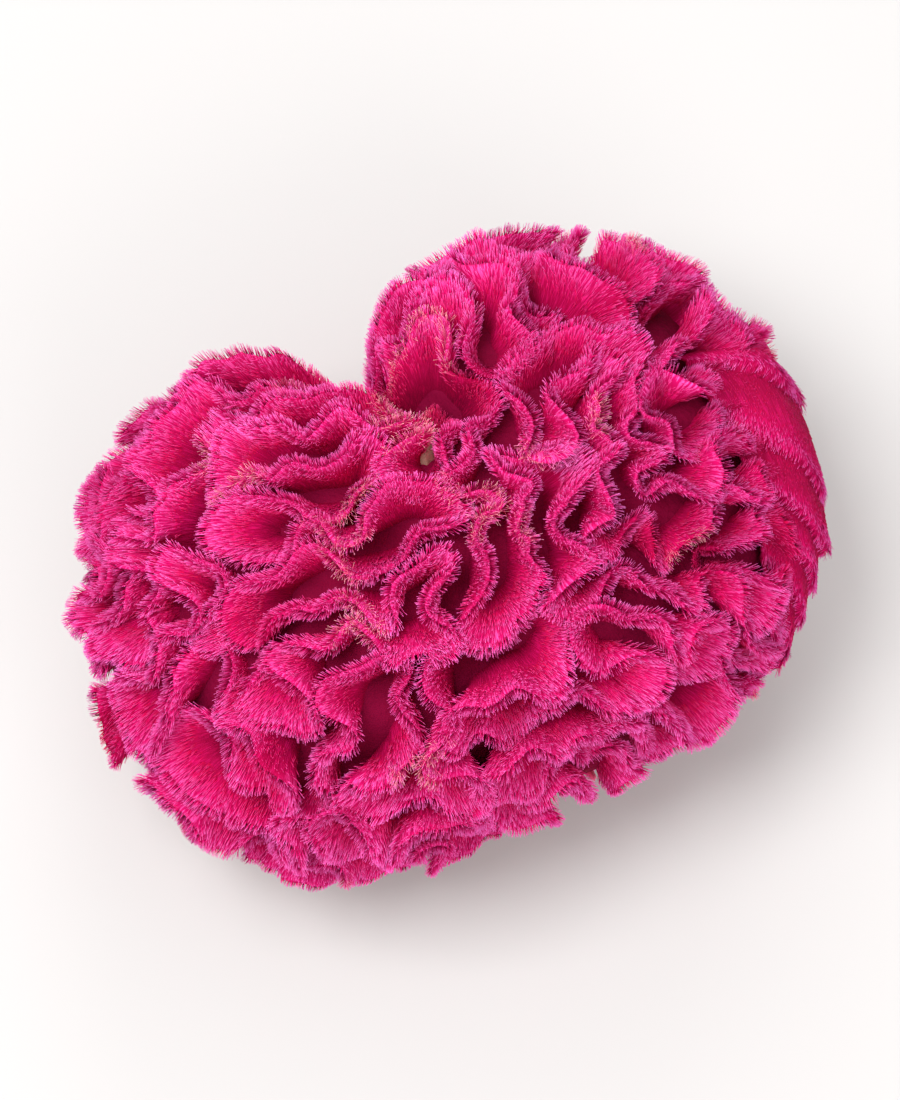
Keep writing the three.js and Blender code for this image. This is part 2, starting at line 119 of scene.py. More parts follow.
def furrow(x, y):
    (ax, ay), (bx, by) = headShape["furrowFrom"], headShape["furrowTo"]
    ex, ey = bx - ax, by - ay
    along = ((x - ax) * ex + (y - ay) * ey) / (ex * ex + ey * ey)
    t = np.minimum(np.maximum(along, 0.0), 1.0)
    dx, dy = x - ax - t * ex, y - ay - t * ey
    half = headShape["furrowHalf"]
    return (1 - headShape["furrowFade"] * t) / (1 + (dx * dx + dy * dy) / (half * half))


def ontoHead(points):
    px, py, pz = points.T
    out = reach(px, py, pz)
    x, y, z = px / out, py / out, pz / out
    k = 1 - headShape["furrowDepth"] * furrow(x, y)
    return np.stack([x * k, y * k, z * k], 1)


def domeLevel(points):  # 1 on the dome, more outside it
    out = reach(*points.T)
    return out / (1 - headShape["furrowDepth"] * furrow(points[:, 0] / out, points[:, 1] / out))


def headNormal(points):
    steps = np.eye(3) * 0.5
    return unit(np.stack([domeLevel(points + step) - domeLevel(points - step) for step in steps], 1))


# The crest's edge: a closed maze on the dome that grows longer in its place.

rimGrowth = {
    "seed": 6,
    "halfCells": 7,
    "cell": 0.27,
    "mapEdge": 1.55,
    "mapRadius": 90,
    "pull": 0.12,
    "swirl": 0.6,
    "jitter": 0.9,
    "pointsPerLink": 3,
    "gap": 10.5,  # between neighbouring passes
    "watch": 3,  # passes this much further apart are watched too
    "block": 512,  # points whose neighbours are looked for at once
    "step": 3,
    "growRounds": 26,
    "rounds": 40,
    "growth": 0.025,
    "steps": 5,
    "spring": 0.35,
    "bend": 0.25,
    "push": 0.5,
    "mostMove": 0.8,
    "softening": 0.01,  # keeps points that meet from a division by zero
    "skip": 4,
    "lowest": -17,
}


def mazeWalk(dice):
    half, cell = rimGrowth["halfCells"], rimGrowth["cell"]
    cells = []
    for y in range(-half, half):
        for x in range(-half, half):
            cx, cy = (x + 0.5) * cell, (y + 0.5) * cell
            if cx * cx + cy * cy < rimGrowth["mapEdge"] ** 2:
                cells.append((x, y))
    cellAt = {spot: i for i, spot in enumerate(cells)}
    front = [len(cells) // 2]
    taken = set(front)
    doors = []
    while front:
        k = int(dice() * len(front))
        x, y = cells[front[k]]
        around = [cellAt.get((x + a, y + b)) for a, b in ((1, 0), (0, 1), (-1, 0), (0, -1))]
        free = [cell for cell in around if cell is not None and cell not in taken]
        if not free:
            front.pop(k)
            continue
        chosen = free[int(dice() * len(free))]
        doors.append((front[k], chosen))
        taken.add(chosen)
        front.append(chosen)

    links = {}

    def link(a, b):
        links.setdefault(a, []).append(b)
        links.setdefault(b, []).append(a)

    def cut(a, b):
        links[a].remove(b)
        links[b].remove(a)

    def corner(x, y, right, up):
        return 2 * x + right, 2 * y + up

    for x, y in cells:
        link(corner(x, y, 0, 0), corner(x, y, 1, 0))
        link(corner(x, y, 1, 0), corner(x, y, 1, 1))
        link(corner(x, y, 1, 1), corner(x, y, 0, 1))
        link(corner(x, y, 0, 1), corner(x, y, 0, 0))
    for i, j in doors:
        (x, y), (u, v) = sorted((cells[i], cells[j]))
        r, t = (1, 0) if u > x else (0, 1)
        cut(corner(x, y, r, t), corner(x, y, 1, 1))
        cut(corner(u, v, 0, 0), corner(u, v, t, r))
        link(corner(x, y, r, t), corner(u, v, 0, 0))
        link(corner(x, y, 1, 1), corner(u, v, t, r))

    first = next(iter(links))
    walk = []
    before, here = None, first
    while not walk or here != first:
        walk.append(here)
        p, q = links[here]
        before, here = here, (p if p != before else q)
    return walk


def mazeOnHead(dice):
    half = rimGrowth["cell"] / 2
    corners = []
    for a, b in mazeWalk(dice):
        x = (a + 0.5 + rimGrowth["jitter"] * (dice() - 0.5)) * half
        y = (b + 0.5 + rimGrowth["jitter"] * (dice() - 0.5)) * half
        pull = 1 - rimGrowth["pull"] * (1 - (x * x + y * y) / (rimGrowth["mapEdge"] * rimGrowth["mapEdge"]))
        x, y = x * pull, y * pull
        turn = rimGrowth["swirl"] * (x * x + y * y)
        long = math.sqrt(1 + turn * turn)
        x, y = (x - turn * y) / long, (x * turn + y) / long
        out = math.sqrt(max(0.0, 1 - (x * x + y * y) / 4)) * rimGrowth["mapRadius"]
        z = 1 - (x * x + y * y) / 2
        corners.append((x * out, y * out, z * headShape["topHeight" if z > 0 else "skirtDrop"]))
    return ontoHead(np.array(corners))


def closePairs(line):
    count, near = len(line), rimGrowth["gap"] + rimGrowth["watch"]
    first, second = [], []
    for start in range(0, count, rimGrowth["block"]):
        d = line[None] - line[start : start + rimGrowth["block"], None]
        i, j = np.nonzero(d[..., 0] * d[..., 0] + d[..., 1] * d[..., 1] + d[..., 2] * d[..., 2] < near * near)
        i = i + start
        keep = (j >= i + rimGrowth["skip"]) & (count - (j - i) >= rimGrowth["skip"])
        first.append(i[keep])
        second.append(j[keep])
    return np.concatenate(first), np.concatenate(second)


def settle(line, pairs):
    count, gap, tiny = len(line), rimGrowth["gap"], rimGrowth["softening"]
    i, j = pairs
    d = line[j] - line[i]
    apart = lengthOf(d)
    force = np.where(apart < gap, (rimGrowth["push"] * (gap - apart)) / gap / (apart + tiny), 0.0)
    pushed = [
        np.bincount(j, force * d[:, t], count) - np.bincount(i, force * d[:, t], count)
        for t in range(3)
    ]
    before, after = np.roll(line, 1, 0), np.roll(line, -1, 0)
    move = np.zeros_like(line)
    for following in (before, after):
        d = following - line
        apart = lengthOf(d)
        pull = (rimGrowth["spring"] * (apart - rimGrowth["step"])) / (apart + tiny)
        move = move + pull[:, None] * d
    move = move + (rimGrowth["bend"] * ((before + after) / 2 - line) + np.stack(pushed, 1))
    far = lengthOf(move)
    share = np.where(far > rimGrowth["mostMove"], rimGrowth["mostMove"] / np.maximum(far, 1e-12), 1.0)
    moved = line + move * share[:, None]
    moved[:, 2] = np.maximum(moved[:, 2], rimGrowth["lowest"])
    return ontoHead(moved)


def growRim():
    dice = makeDice(rimGrowth["seed"])
    corners = mazeOnHead(dice)
    onwards = np.roll(corners, -1, 0) - corners
    links = rimGrowth["pointsPerLink"]
    line = ontoHead(np.stack([corners + onwards * (k / links) for k in range(links)], 1).reshape(-1, 3))
    for turn in range(rimGrowth["rounds"]):
        fresh = math.ceil(len(line) * rimGrowth["growth"]) if turn < rimGrowth["growRounds"] else 0
        for _ in range(fresh):
            i = int(dice() * len(line))
            line = np.insert(line, i + 1, (line[i] + line[(i + 1) % len(line)]) / 2, 0)
        pairs = closePairs(line)
        for _ in range(rimGrowth["steps"]):
            line = settle(line, pairs)
    return line


# The fold line: the edge after a slow drift, with its lifts, sways and flares.

foldCourse = {
    "driftSeed": 92,
    "driftWaves": 6,
    "driftLength": 28,
    "driftSize": 3,
    "driftSpread": (0.7, 0.6),  # least share of the length, and how much more there may be
    "calming": 3,  # rounds of smoothing after the drift
    "waveSeed": 9,
    "step": 5.8,
    "finer": 4,  # points for each of those steps
    "waveTerms": 12,
    "waveSpread": (0.6, 0.9),  # the same for how often each of them turns
    "lift": 3,
    "liftWave": 60,
    "sway": 0.8,
    "swayWave": 22,
    "flare": 0.15,
    "flareSmooth": 20,
}


def smoothed(line, times):
    for _ in range(times):
        middle = (np.roll(line, 1, 0) + np.roll(line, -1, 0)) / 2
        line = line + (middle - line) * 0.5
    return line


def closedUp(line):  # the line with its start again at its end, and how far along each point lies
    ring = np.vstack([line, line[:1]])
    return ring, np.concatenate([[0], np.cumsum(lengthOf(np.diff(ring, axis=0)))])


def evenly(line, step, finer):
    ring, travelled = closedUp(line)
    length = travelled[-1]
    count = int(length / step + 0.5) * finer
    at = np.arange(count) * length / count
    return np.stack([np.interp(at, travelled, ring[:, k]) for k in range(3)], 1), at, length


def makeWave(dice, length, wavelength):  # uneven waves that meet their own start
    terms = []
    least, more = foldCourse["waveSpread"]
    for _ in range(foldCourse["waveTerms"]):
        turns = max(1, int(length / wavelength * (least + more * dice()) + 0.5))
        size = 0.5 + 0.5 * dice()
        terms.append((turns, size, dice()))

    def wave(at):
        total = sum(size * np.sin(2 * np.pi * (turns * at / length + shift)) for turns, size, shift in terms)
        return total / math.sqrt(foldCourse["waveTerms"] / 2)

    return wave


def drifted(points):
    dice = makeDice(foldCourse["driftSeed"])
    size = foldCourse["driftSize"] / math.sqrt(foldCourse["driftWaves"] / 2)
    least, more = foldCourse["driftSpread"]
    moved = points
    for _ in range(foldCourse["driftWaves"]):
        way = unit(np.array([dice() * 2 - 1 for _ in range(3)]))
        long = foldCourse["driftLength"] * (least + more * dice())
        slide = np.array([dice() * 2 - 1 for _ in range(3)])
        slide = unit(slide - way * (slide @ way))
        moved = moved + slide * (size * np.sin(2 * np.pi * (points @ way / long + dice())))[:, None]
    return moved


def tangents(line):
    return unit(np.roll(line, -1, 0) - np.roll(line, 1, 0))


def foldLine():
    line = smoothed(ontoHead(drifted(growRim())), foldCourse["calming"])
    points, at, length = evenly(line, foldCourse["step"], foldCourse["finer"])
    side = unit(np.cross(tangents(points), headNormal(points)))
    dice = makeDice(foldCourse["waveSeed"], 0)
    lift = makeWave(dice, length, foldCourse["liftWave"])
    sway = makeWave(dice, length, foldCourse["swayWave"])
    calm = smoothed(points, foldCourse["flareSmooth"] * foldCourse["finer"] ** 2)
    swung = points + side * (foldCourse["sway"] * sway(at))[:, None]
    moved = ontoHead(swung + foldCourse["flare"] * (points - calm))
    return moved, foldCourse["lift"] * lift(at), at, length


rimLine, rimLifts, rimAt, rimLength = foldLine()
rimCount = len(rimLine)
print("edge:", rimCount, "points,", round(rimLength), "mm")


def rimWave(seed, wavelength):
    return makeWave(makeDice(seed), rimLength, wavelength)(rimAt)


# Colours and shader groups.


def shade(red, green, blue):  # a colour as seen on a screen, 0 to 255
    channels = [v / 255 for v in (red, green, blue)]
    return tuple(v / 12.92 if v <= 0.04045 else ((v + 0.055) / 1.055) ** 2.4 for v in channels) + (1,)


def addNode(tree, kind, links={}, **values):
    node = tree.nodes.new(kind)
    for name, value in values.items():
        setattr(node, name, value)
    for socket, source in links.items():
        if isinstance(source, bpy.types.NodeSocket):
            tree.links.new(source, node.inputs[socket])
        else:
            node.inputs[socket].default_value = source
    return node


def makeGroup(name, inputs, output):
    tree = bpy.data.node_groups.new(name, "ShaderNodeTree")
    for label, kind, value in inputs:
        tree.interface.new_socket(label, in_out="INPUT", socket_type=kind).default_value = value
    tree.interface.new_socket(output[0], in_out="OUTPUT", socket_type=output[1])
    return tree, tree.nodes.new("NodeGroupInput").outputs, tree.nodes.new("NodeGroupOutput").inputs


def groupNode(tree, group, **links):
    named = {socket.replace("_", " "): source for socket, source in links.items()}
    return addNode(tree, "ShaderNodeGroup", named, node_tree=group).outputs[0]


def mixColour(tree, factor, first, second, blend="MIX"):
    links = {0: factor, 6: first, 7: second}
    return addNode(tree, "ShaderNodeMix", links, data_type="RGBA", blend_type=blend).outputs[2]


def attribute(tree, name):
    return addNode(tree, "ShaderNodeAttribute", attribute_name=name).outputs["Fac"]


def colourRamp(tree, factor, *stops):  # a stop is a position and a colour
    node = addNode(tree, "ShaderNodeValToRGB", {"Fac": factor})
    elements = node.color_ramp.elements
    while len(elements) < len(stops):
        elements.new(0.5)
    for element, (position, *colour) in zip(elements, stops):
        element.position = position
        element.color = shade(*colour)
    return node.outputs["Color"]


def ranged(tree, value, low, high, most):  # 0 up to low, most from high on
    links = {0: value, 1: low, 2: high, 3: 0.0, 4: most}
    return addNode(tree, "ShaderNodeMapRange", links).outputs[0]


def multiplied(tree, first, second):
    return addNode(tree, "ShaderNodeMath", {0: first, 1: second}, operation="MULTIPLY").outputs[0]


def grainOf(tree, scale):  # fine noise through the piece
    place = addNode(tree, "ShaderNodeTexCoord").outputs["Object"]
    links = {"Vector": place, "Scale": scale, "Detail": 3.0}
    return addNode(tree, "ShaderNodeTexNoise", links).outputs["Fac"]


def bumped(tree, height, strength, distance):
    links = {"Height": height, "Strength": strength, "Distance": distance}
    return addNode(tree, "ShaderNodeBump", links).outputs[0]


def makeMottle():  # patches of a colour that drift lighter and darker, as living tissue does
    tree, given, out = makeGroup(
        "livingMottle",
        [
            ("Colour", "NodeSocketColor", (0.5, 0.5, 0.5, 1)),
            ("Tint", "NodeSocketColor", (0.5, 0.5, 0.5, 1)),
            ("Scale", "NodeSocketFloat", 60.0),
            ("Amount", "NodeSocketFloat", 0.4),
        ],
        ("Colour", "NodeSocketColor"),
    )
    spread = ranged(tree, grainOf(tree, given["Scale"]), 0.35, 0.65, 1.0)
    amount = multiplied(tree, spread, given["Amount"])
    tree.links.new(mixColour(tree, amount, given["Colour"], given["Tint"]), out["Colour"])
    return tree


def makeCombing():  # fine ridges side by side, which run down a fold or a rib
    tree, given, out = makeGroup(
        "combedRidges",
        [
            ("Across", "NodeSocketFloat", 0.0),
            ("Down", "NodeSocketFloat", 0.0),
            ("Per millimetre", "NodeSocketFloat", 1.5),
        ],
        ("Ridge", "NodeSocketFloat"),
    )
    across = multiplied(tree, given["Across"], given["Per millimetre"])
    down = multiplied(tree, given["Down"], 0.3)  # below 1, so that each ridge is drawn out downwards
    spot = addNode(tree, "ShaderNodeCombineXYZ", {0: across, 1: down}).outputs[0]
    noise = addNode(tree, "ShaderNodeTexNoise", {"Vector": spot, "Scale": 1.0, "Detail": 2.0})
    tree.links.new(noise.outputs["Fac"], out["Ridge"])
    return tree


mottle = makeMottle()
combing = makeCombing()


def newMaterial(name, roughness, specular):
    material = bpy.data.materials.new(name)
    material.use_nodes = True
    shader = material.node_tree.nodes["Principled BSDF"]
    shader.inputs["Roughness"].default_value = roughness
    shader.inputs["Specular IOR Level"].default_value = specular
    return material, material.node_tree, shader.inputs


# Meshes from points about the dome's centre. Each attribute holds one value a point.


def setPoints(mesh, points):
    place = (points + headShape["centre"]) * 0.001
    mesh.vertices.foreach_set("co", place.astype(np.float32).ravel())


def giveValues(mesh, values):
    for label, value in values.items():
        data = mesh.attributes.new(label, "FLOAT", "POINT").data
        data.foreach_set("value", value.astype(np.float32).ravel())


def pieceFrom(name, points, faces, material, values):
    mesh = bpy.data.meshes.new(name)
    corners = faces.shape[1]
    mesh.vertices.add(len(points))
    setPoints(mesh, points)
    mesh.loops.add(faces.size)
    mesh.loops.foreach_set("vertex_index", faces.astype(np.int32).ravel())
    mesh.polygons.add(len(faces))
    mesh.polygons.foreach_set("loop_start", np.arange(0, faces.size, corners, dtype=np.int32))
    mesh.polygons.foreach_set("loop_total", np.full(len(faces), corners, np.int32))
    mesh.polygons.foreach_set("use_smooth", np.ones(len(faces), bool))
    mesh.update(calc_edges=True)
    giveValues(mesh, values)
    mesh.materials.append(material)
    piece = bpy.data.objects.new(name, mesh)
    bpy.context.scene.collection.objects.link(piece)
    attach(piece, "root")
    return piece


def pointsOf(piece):
    return np.array([vertex.co for vertex in piece.data.vertices])


def reshaped(name, points, material, values={}, smoothUnder=None):  # the new primitive, its points moved
    piece = bpy.context.object
    piece.name = piece.data.name = name
    setPoints(piece.data, points)
    giveValues(piece.data, values)
    piece.data.materials.append(material)
    piece.data.update()
    if smoothUnder:
        bpy.ops.object.shade_smooth_by_angle(angle=math.radians(smoothUnder))
    piece.select_set(False)
    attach(piece, "root")
    return piece


def newBall(subdivisions):
    bpy.ops.mesh.primitive_ico_sphere_add(subdivisions=subdivisions, radius=1)
    bpy.ops.object.shade_smooth()
    return pointsOf(bpy.context.object)


# Hollows and swells: places on the dome, as across, back, reach and depth. A swell has a negative depth.

hollows = (
    (-15, 28, 7, 9),
    (-6, 25, 7, 10),
    (4, 24, 7, 9),
    (-7, 13, 4, 3),
    (-32, 34, 9, 4),
    (48, -14, 7, 7),
    (63, -17, 7, 7),
    (-50, -36, 8, 6),
    (3, -30, 5, 5),
    (-47, -74, 6, 5),
    (-5, 1, 4, 4),
    (28, 36, 5, 4),
    (48, 2, 9, -3),
    (-30, -50, 10, -2),
    (28, -22, 9, -2),
    (0, -66, 10, -2),
    (-90, -54, 8, 7),
    (33, 76, 5, 5),
    (84, 50, 6, 4),
)
skirt = {  # a plainer, pleated band along one side, set off by a valley
    "bearings": (-26, -17.5, -9, 0, 8.5, 16.4, 32.6, 41, 54),  # degrees round from across
    "valley": (97, 92, 88, 84, 80.5, 78, 76, 70, 69),  # how far out the valley lies at each
    "valleyReach": 4,
    "valleyDepth": 6,
    "valleyEnds": (-30, -20, 48, 58),  # bearings between which it sets in and ends
    "fade": (8, 22),  # heights between which it sets in
    "ends": (-27, -21, 27, 33),  # bearings where the band begins and ends
    "lowest": (-12, -4),  # heights where it ends below
    "sunk": 7,  # how far the folds lie under it
}


def valleyAt(bearing):
    return np.interp(bearing, skirt["bearings"], skirt["valley"])


def fromValley(points):  # each point's bearing, and how far out from the valley it lies
    bearing = np.degrees(np.arctan2(points[:, 1], points[:, 0]))
    return bearing, np.hypot(points[:, 0], points[:, 1]) - valleyAt(bearing)


def skirtAt(points):  # 0 on the main mass, 1 under the band
    bearing, away = fromValley(points)
    beyond = np.clip(away / skirt["valleyReach"], 0, 1)
    along = np.interp(bearing, skirt["ends"], (0, 1, 1, 0))
    return beyond * along * np.interp(points[:, 2], skirt["lowest"], (0, 1))


def hollowAt(points):
    return sum(depth * nearTo(points, *place) for *place, depth in hollows)


def sunkAt(points):  # hollows, the valley and all that lies under the skirt
    bearing, away = fromValley(points)
    along = np.interp(bearing, skirt["valleyEnds"], (0, 1, 1, 0))
    down = skirt["valleyDepth"] * np.exp(-((away / skirt["valleyReach"]) ** 2)) * along
    down = down * np.interp(points[:, 2], skirt["fade"], (0, 1))
    return np.maximum(down, skirt["sunk"] * skirtAt(points)) + hollowAt(points)


# The folds: one thin sheet that hangs from the edge towards the heart.

sheets = {
    "rows": (0, 0.4, 1.2, 2.4, 4.2, 7, 10.5, 15, 20),  # depths below the crown
    "halfThickness": 1.3,
    "roundOver": 1.2,
    "thinness": ((0, 1.5, 5, 12, 20), (0.45, 0.6, 1, 1.7, 2.4)),  # by depth
    "crownRise": 0.2,
    "liftGain": 1.35,
    "flare": 1.5,  # the crown swings out round each bend
    "flareSpread": 8,
    "footSpread": 9,  # and the foot cuts the corner
    "curl": 2.2,
    "ruffleSeed": 21,
    "ruffle": 3.2,
    "ruffleWave": 19,
    "rounding": 0.9,
    "mostSwing": 8,
    "droop": 4,  # how far the crowns hang over, and which way
    "droopWay": (0, -0.5, -1),
    "frillSeed": 33,
    "frill": 0.6,
    "frillWave": 9,
    "lowCalm": ((-8, 2, 16), (0.2, 0.35, 1)),  # how much of flare and ruffle is left, by height
    "skirtCalm": 0.2,
    "fullHollow": 8,  # how far down a fold counts as wholly sunk
    "hollowCalm": 0.7,  # share of its swing that a sunk fold loses
    "hollowPaintedShade": 0.6,  # and share of its lightness that a sunk fold loses as painted shade
    "heldFrom": 1.035,  # crowns on the sides that stand out past this level are drawn in
    "heldShare": 0.3,
    "heldHeights": (28, 45),  # and between these heights they get free
}
sheetDepth = sheets["rows"][-1]
pointStep = rimLength / rimCount


def spreadOut(line, spread):
    return smoothed(line, round(2 * (spread / pointStep) ** 2))


def thicknessAt(depth):
    cap = np.clip(1 - depth / sheets["roundOver"], 0, 1)
    taper = np.interp(depth, *sheets["thinness"])
    return sheets["halfThickness"] * np.sqrt(1 - cap**2) * taper


rimUp = fromHeart(rimLine)
rimNormal = headNormal(rimLine)
rimSide = unit(np.cross(tangents(rimLine), rimNormal))
ruffle = rimWave(sheets["ruffleSeed"], sheets["ruffleWave"])[:, None]
frill = rimWave(sheets["frillSeed"], sheets["frillWave"])[:, None]
rimSunk = sunkAt(rimLine)
rimSkirt = skirtAt(rimLine)
calm = np.interp(rimLine[:, 2], *sheets["lowCalm"]) * (1 - (1 - sheets["skirtCalm"]) * rimSkirt)
stiff = sheets["hollowCalm"] * np.clip(rimSunk / sheets["fullHollow"], 0, 1)
bendOut = rimLine - spreadOut(rimLine, sheets["flareSpread"])
swing = bendOut * sheets["flare"] + rimSide * (ruffle * sheets["ruffle"] + frill * sheets["frill"])
swing = swing / np.sqrt(1 + (swing**2).sum(1, keepdims=True) / sheets["mostSwing"] ** 2)
lifted = (rimLifts * sheets["liftGain"] - rimSunk)[:, None] + sheets["crownRise"] + frill
crownLine = rimLine + rimUp * lifted
crownLine = crownLine + swing * (calm * (1 - stiff))[:, None]
droop = sheets["droopWay"] - rimNormal * (rimNormal @ sheets["droopWay"])[:, None]
crownLine = spreadOut(crownLine + sheets["droop"] * droop, sheets["rounding"])
crownLevel = domeLevel(crownLine)
heldIn = np.maximum(crownLevel - sheets["heldFrom"], 0) * (1 - sheets["heldShare"]) / crownLevel
crownLine = crownLine * (1 - heldIn * np.interp(crownLine[:, 2], sheets["heldHeights"], (1, 0)))[:, None]
footLine = spreadOut(rimLine, sheets["footSpread"]) - rimUp * sheetDepth


def sheetAt(depth):  # the middle of the sheet, this far below the crown
    share = 1 - depth / sheetDepth
    whole = crownLine - footLine
    sideways = whole - rimUp * (whole * rimUp).sum(1, keepdims=True)
    return footLine + whole * share - sideways * (share - share ** sheets["curl"])


sheetDepths = np.array(sheets["rows"])
sheetMiddle = np.stack([sheetAt(depth) for depth in sheetDepths], 1)
sheetAlong = unit(np.roll(sheetMiddle, -1, 0) - np.roll(sheetMiddle, 1, 0))
sheetDown = unit(np.gradient(sheetMiddle, axis=1))
sheetFacing = unit(np.cross(sheetDown, sheetAlong))
sheetSunk = sunkAt(sheetMiddle.reshape(-1, 3)).reshape(sheetMiddle.shape[:2])
sheetHollow = np.clip(sheetSunk / sheets["fullHollow"], 0, 1)


def makeFolds(material):
    half = thicknessAt(sheetDepths)[None, :, None]
    left = sheetMiddle + sheetFacing * half
    right = sheetMiddle - sheetFacing * half
    section = np.concatenate([left[:, :0:-1], sheetMiddle[:, :1], right[:, 1:]], 1)
    around = section.shape[1]
    i, j = np.arange(rimCount)[:, None], np.arange(around)[None]
    i2, j2 = (i + 1) % rimCount, (j + 1) % around
    corners = (i * around + j, i * around + j2, i2 * around + j2, i2 * around + j)
    faces = np.stack(np.broadcast_arrays(*corners), -1).reshape(-1, 4)
    depth = np.concatenate([sheetDepths[:0:-1], sheetDepths])
    hollowShade = np.concatenate([sheetHollow[:, :0:-1], sheetHollow], 1)
    values = {
        # painted shade: lighter at the crown, darker down the fold and in a hollow
        "rise": (1 - depth / sheetDepth) * (1 - sheets["hollowPaintedShade"] * hollowShade),
        "across": np.repeat(rimAt, around),
        "down": np.tile(depth, rimCount),
    }
    return pieceFrom("crest_folds", section.reshape(-1, 3), faces, material, values)


def makeVelvet():
    material, tree, inputs = newMaterial("foldVelvet", 0.8, 0.04)
    rise, across, down = [attribute(tree, name) for name in ("rise", "across", "down")]
    # Painted shade: the velvet darkens from the crown down into each fold and in the hollows, and on the
    # skirt it takes the painted light and shade of each pleat; the combed streaks are its own
    skin = colourRamp(tree, rise, (0.05, 88, 2, 34), (0.4, 138, 2, 54), (0.7, 174, 4, 72), (1, 202, 14, 102))
    pile = colourRamp(tree, rise, (0.3, 158, 3, 60), (0.75, 230, 24, 118), (1, 255, 98, 192))
    ridge = groupNode(tree, combing, Across=across, Down=down, Per_millimetre=4.2)
    striped = mixColour(tree, ranged(tree, ridge, 0.48, 0.6, 0.8), skin, pile)
    patchy = groupNode(tree, mottle, Colour=striped, Tint=shade(150, 8, 52), Scale=45.0, Amount=0.35)
    tree.links.new(patchy, inputs["Base Color"])
    tree.links.new(bumped(tree, ridge, 0.8, 0.0007), inputs["Normal"])
    return material


velvet = makeVelvet()
folds = makeFolds(velvet)
print("folds:", len(folds.data.polygons), "faces")


# The bed that the folds stand in, down to the underside.

bedForm = {
    "ball": (90, 90, 45),  # what it is drawn from on to the dome
    "subdivisions": 6,
    "sinkHeights": (-26, -18, 0, 16, 58),
    "sinks": (1.5, 3, 6.5, 9.5, 10.5),
    "hollowShare": 0.45,
    "mostHollow": 10,
    "flatAt": -25.5,
    "paleAt": -20,  # the height by which its underside is wholly pale
}


def ontoBed(points):
    skin = ontoHead(points)
    sink = np.interp(skin[:, 2], bedForm["sinkHeights"], bedForm["sinks"])
    sink = sink + bedForm["hollowShare"] * np.clip(hollowAt(skin), 0, bedForm["mostHollow"])
    sunk = skin - fromHeart(skin) * sink[:, None]
    sunk[:, 2] = np.maximum(sunk[:, 2], bedForm["flatAt"])
    return sunk


def makeBed(material):
    points = ontoBed(newBall(bedForm["subdivisions"]) * bedForm["ball"])
    low = np.clip(points[:, 2] / bedForm["paleAt"], 0, 1)
    return reshaped("crest_bed", points, material, {"low": low})


def makeBedFlesh():
    material, tree, inputs = newMaterial("bedFlesh", 0.8, 0.05)
    flesh = colourRamp(tree, attribute(tree, "low"), (0, 108, 2, 42), (0.4, 124, 3, 48), (1, 190, 36, 90))
    patchy = groupNode(tree, mottle, Colour=flesh, Tint=shade(130, 10, 56), Scale=90.0, Amount=0.5)
    tree.links.new(patchy, inputs["Base Color"])
    tree.links.new(bumped(tree, grainOf(tree, 600.0), 0.8, 0.001), inputs["Normal"])
    return material


bed = makeBed(makeBedFlesh())
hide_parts("crest")
print("bed:", len(bed.data.polygons), "faces")


# A patch of bare, pale tissue that shows at the end of the cleft.

bareFlesh = {
    "at": (-9, 15, 53),
    "sink": 14,
    "size": (4, 7, 8),
    "subdivisions": 4,
    "ribs": 9,
    "ribSize": 0.06,
}


def makeBareFlesh(material):
    ball = newBall(bareFlesh["subdivisions"])
    ribs = np.sin(bareFlesh["ribs"] * np.arctan2(ball[:, 1], ball[:, 0]))[:, None]
    ribbed = ball * (1 + bareFlesh["ribSize"] * ribs * (1, 1, 0))
    at = np.array([bareFlesh["at"]])
    points = at + ribbed * bareFlesh["size"] - fromHeart(at) * bareFlesh["sink"]
    return reshaped("crest_bare_flesh", points, material)


def makePaleFlesh():
    material, tree, inputs = newMaterial("bareFlesh", 0.6, 0.2)
    grain = grainOf(tree, 700.0)
    green = mixColour(tree, grain, shade(118, 116, 88), shade(178, 172, 142))
    patchy = groupNode(tree, mottle, Colour=green, Tint=shade(190, 90, 110), Scale=220.0, Amount=0.5)
    tree.links.new(patchy, inputs["Base Color"])
    tree.links.new(bumped(tree, grain, 0.4, 0.0004), inputs["Normal"])
    return material


makeBareFlesh(makePaleFlesh())


# The plush: fine bristles that spray from both shoulders of every fold.

plush = {
    "seed": 4,
    "pieces": 4,
    "bristles": 44500,  # on each piece
    "reach": 8.5,  # how far from the crown they grow, along the skin
    "crowding": 1.3,  # above 1 they crowd towards the crown
    "spots": (0, 1, 3, 6, 8.5),  # how far from the crown the lengths and splays hold
    "lengths": (2.6, 3.5, 4.0, 3.8, 3.0),
    "lengthRange": (0.86, 1.06),
    "splays": (16, 30, 28, 23, 18),  # degrees from the way up
    "steepSplay": 1.15,  # gain of the splay on an upright sheet, which a lying one loses
    "uneven": 3,
    "onRidge": 0.1,  # share that stands on the crown itself
    "ridgeReach": 0.6,  # how far over its rounding
    "ridgeLean": 22,
    "rooted": 0.8,  # where the roots sit, in half thicknesses
    "faceUp": 0.85,  # how far the side that looks up gets the more of them
    "faceUpFrom": 3,  # in full from here down
    "fewest": 0.06,  # least share that the other side keeps
    "lowHeights": (-8, 10),  # between these heights they get shorter
    "lowLength": 0.5,  # share of their length that is left at the skirt
    "hollowLength": 0.4,  # and share of it that they lose in a hollow
    "rootWidth": 0.25,
    "tipWidth": 0.12,
    "sway": 0.1,
    "swayTurns": (0.3, 2.5, 0.07),  # a wave along the fold, bent by a slower one
    "stray": 0.035,
    "skirtBare": 0.95,  # share of them that makes way for the skirt
    "softLow": 0.3,  # how far the roots take the light as if they faced up the fold
    "softHigh": 0.35,  # and the tips as if they faced out of it
    # two spots on faces turned up to the light, where the tips get a painted lilac highlight, and its
    # strength
    "lilacHighlightSpots": ((41, -6, 5), (28, 4, 5)),
    "lilacHighlight": 0.6,
}
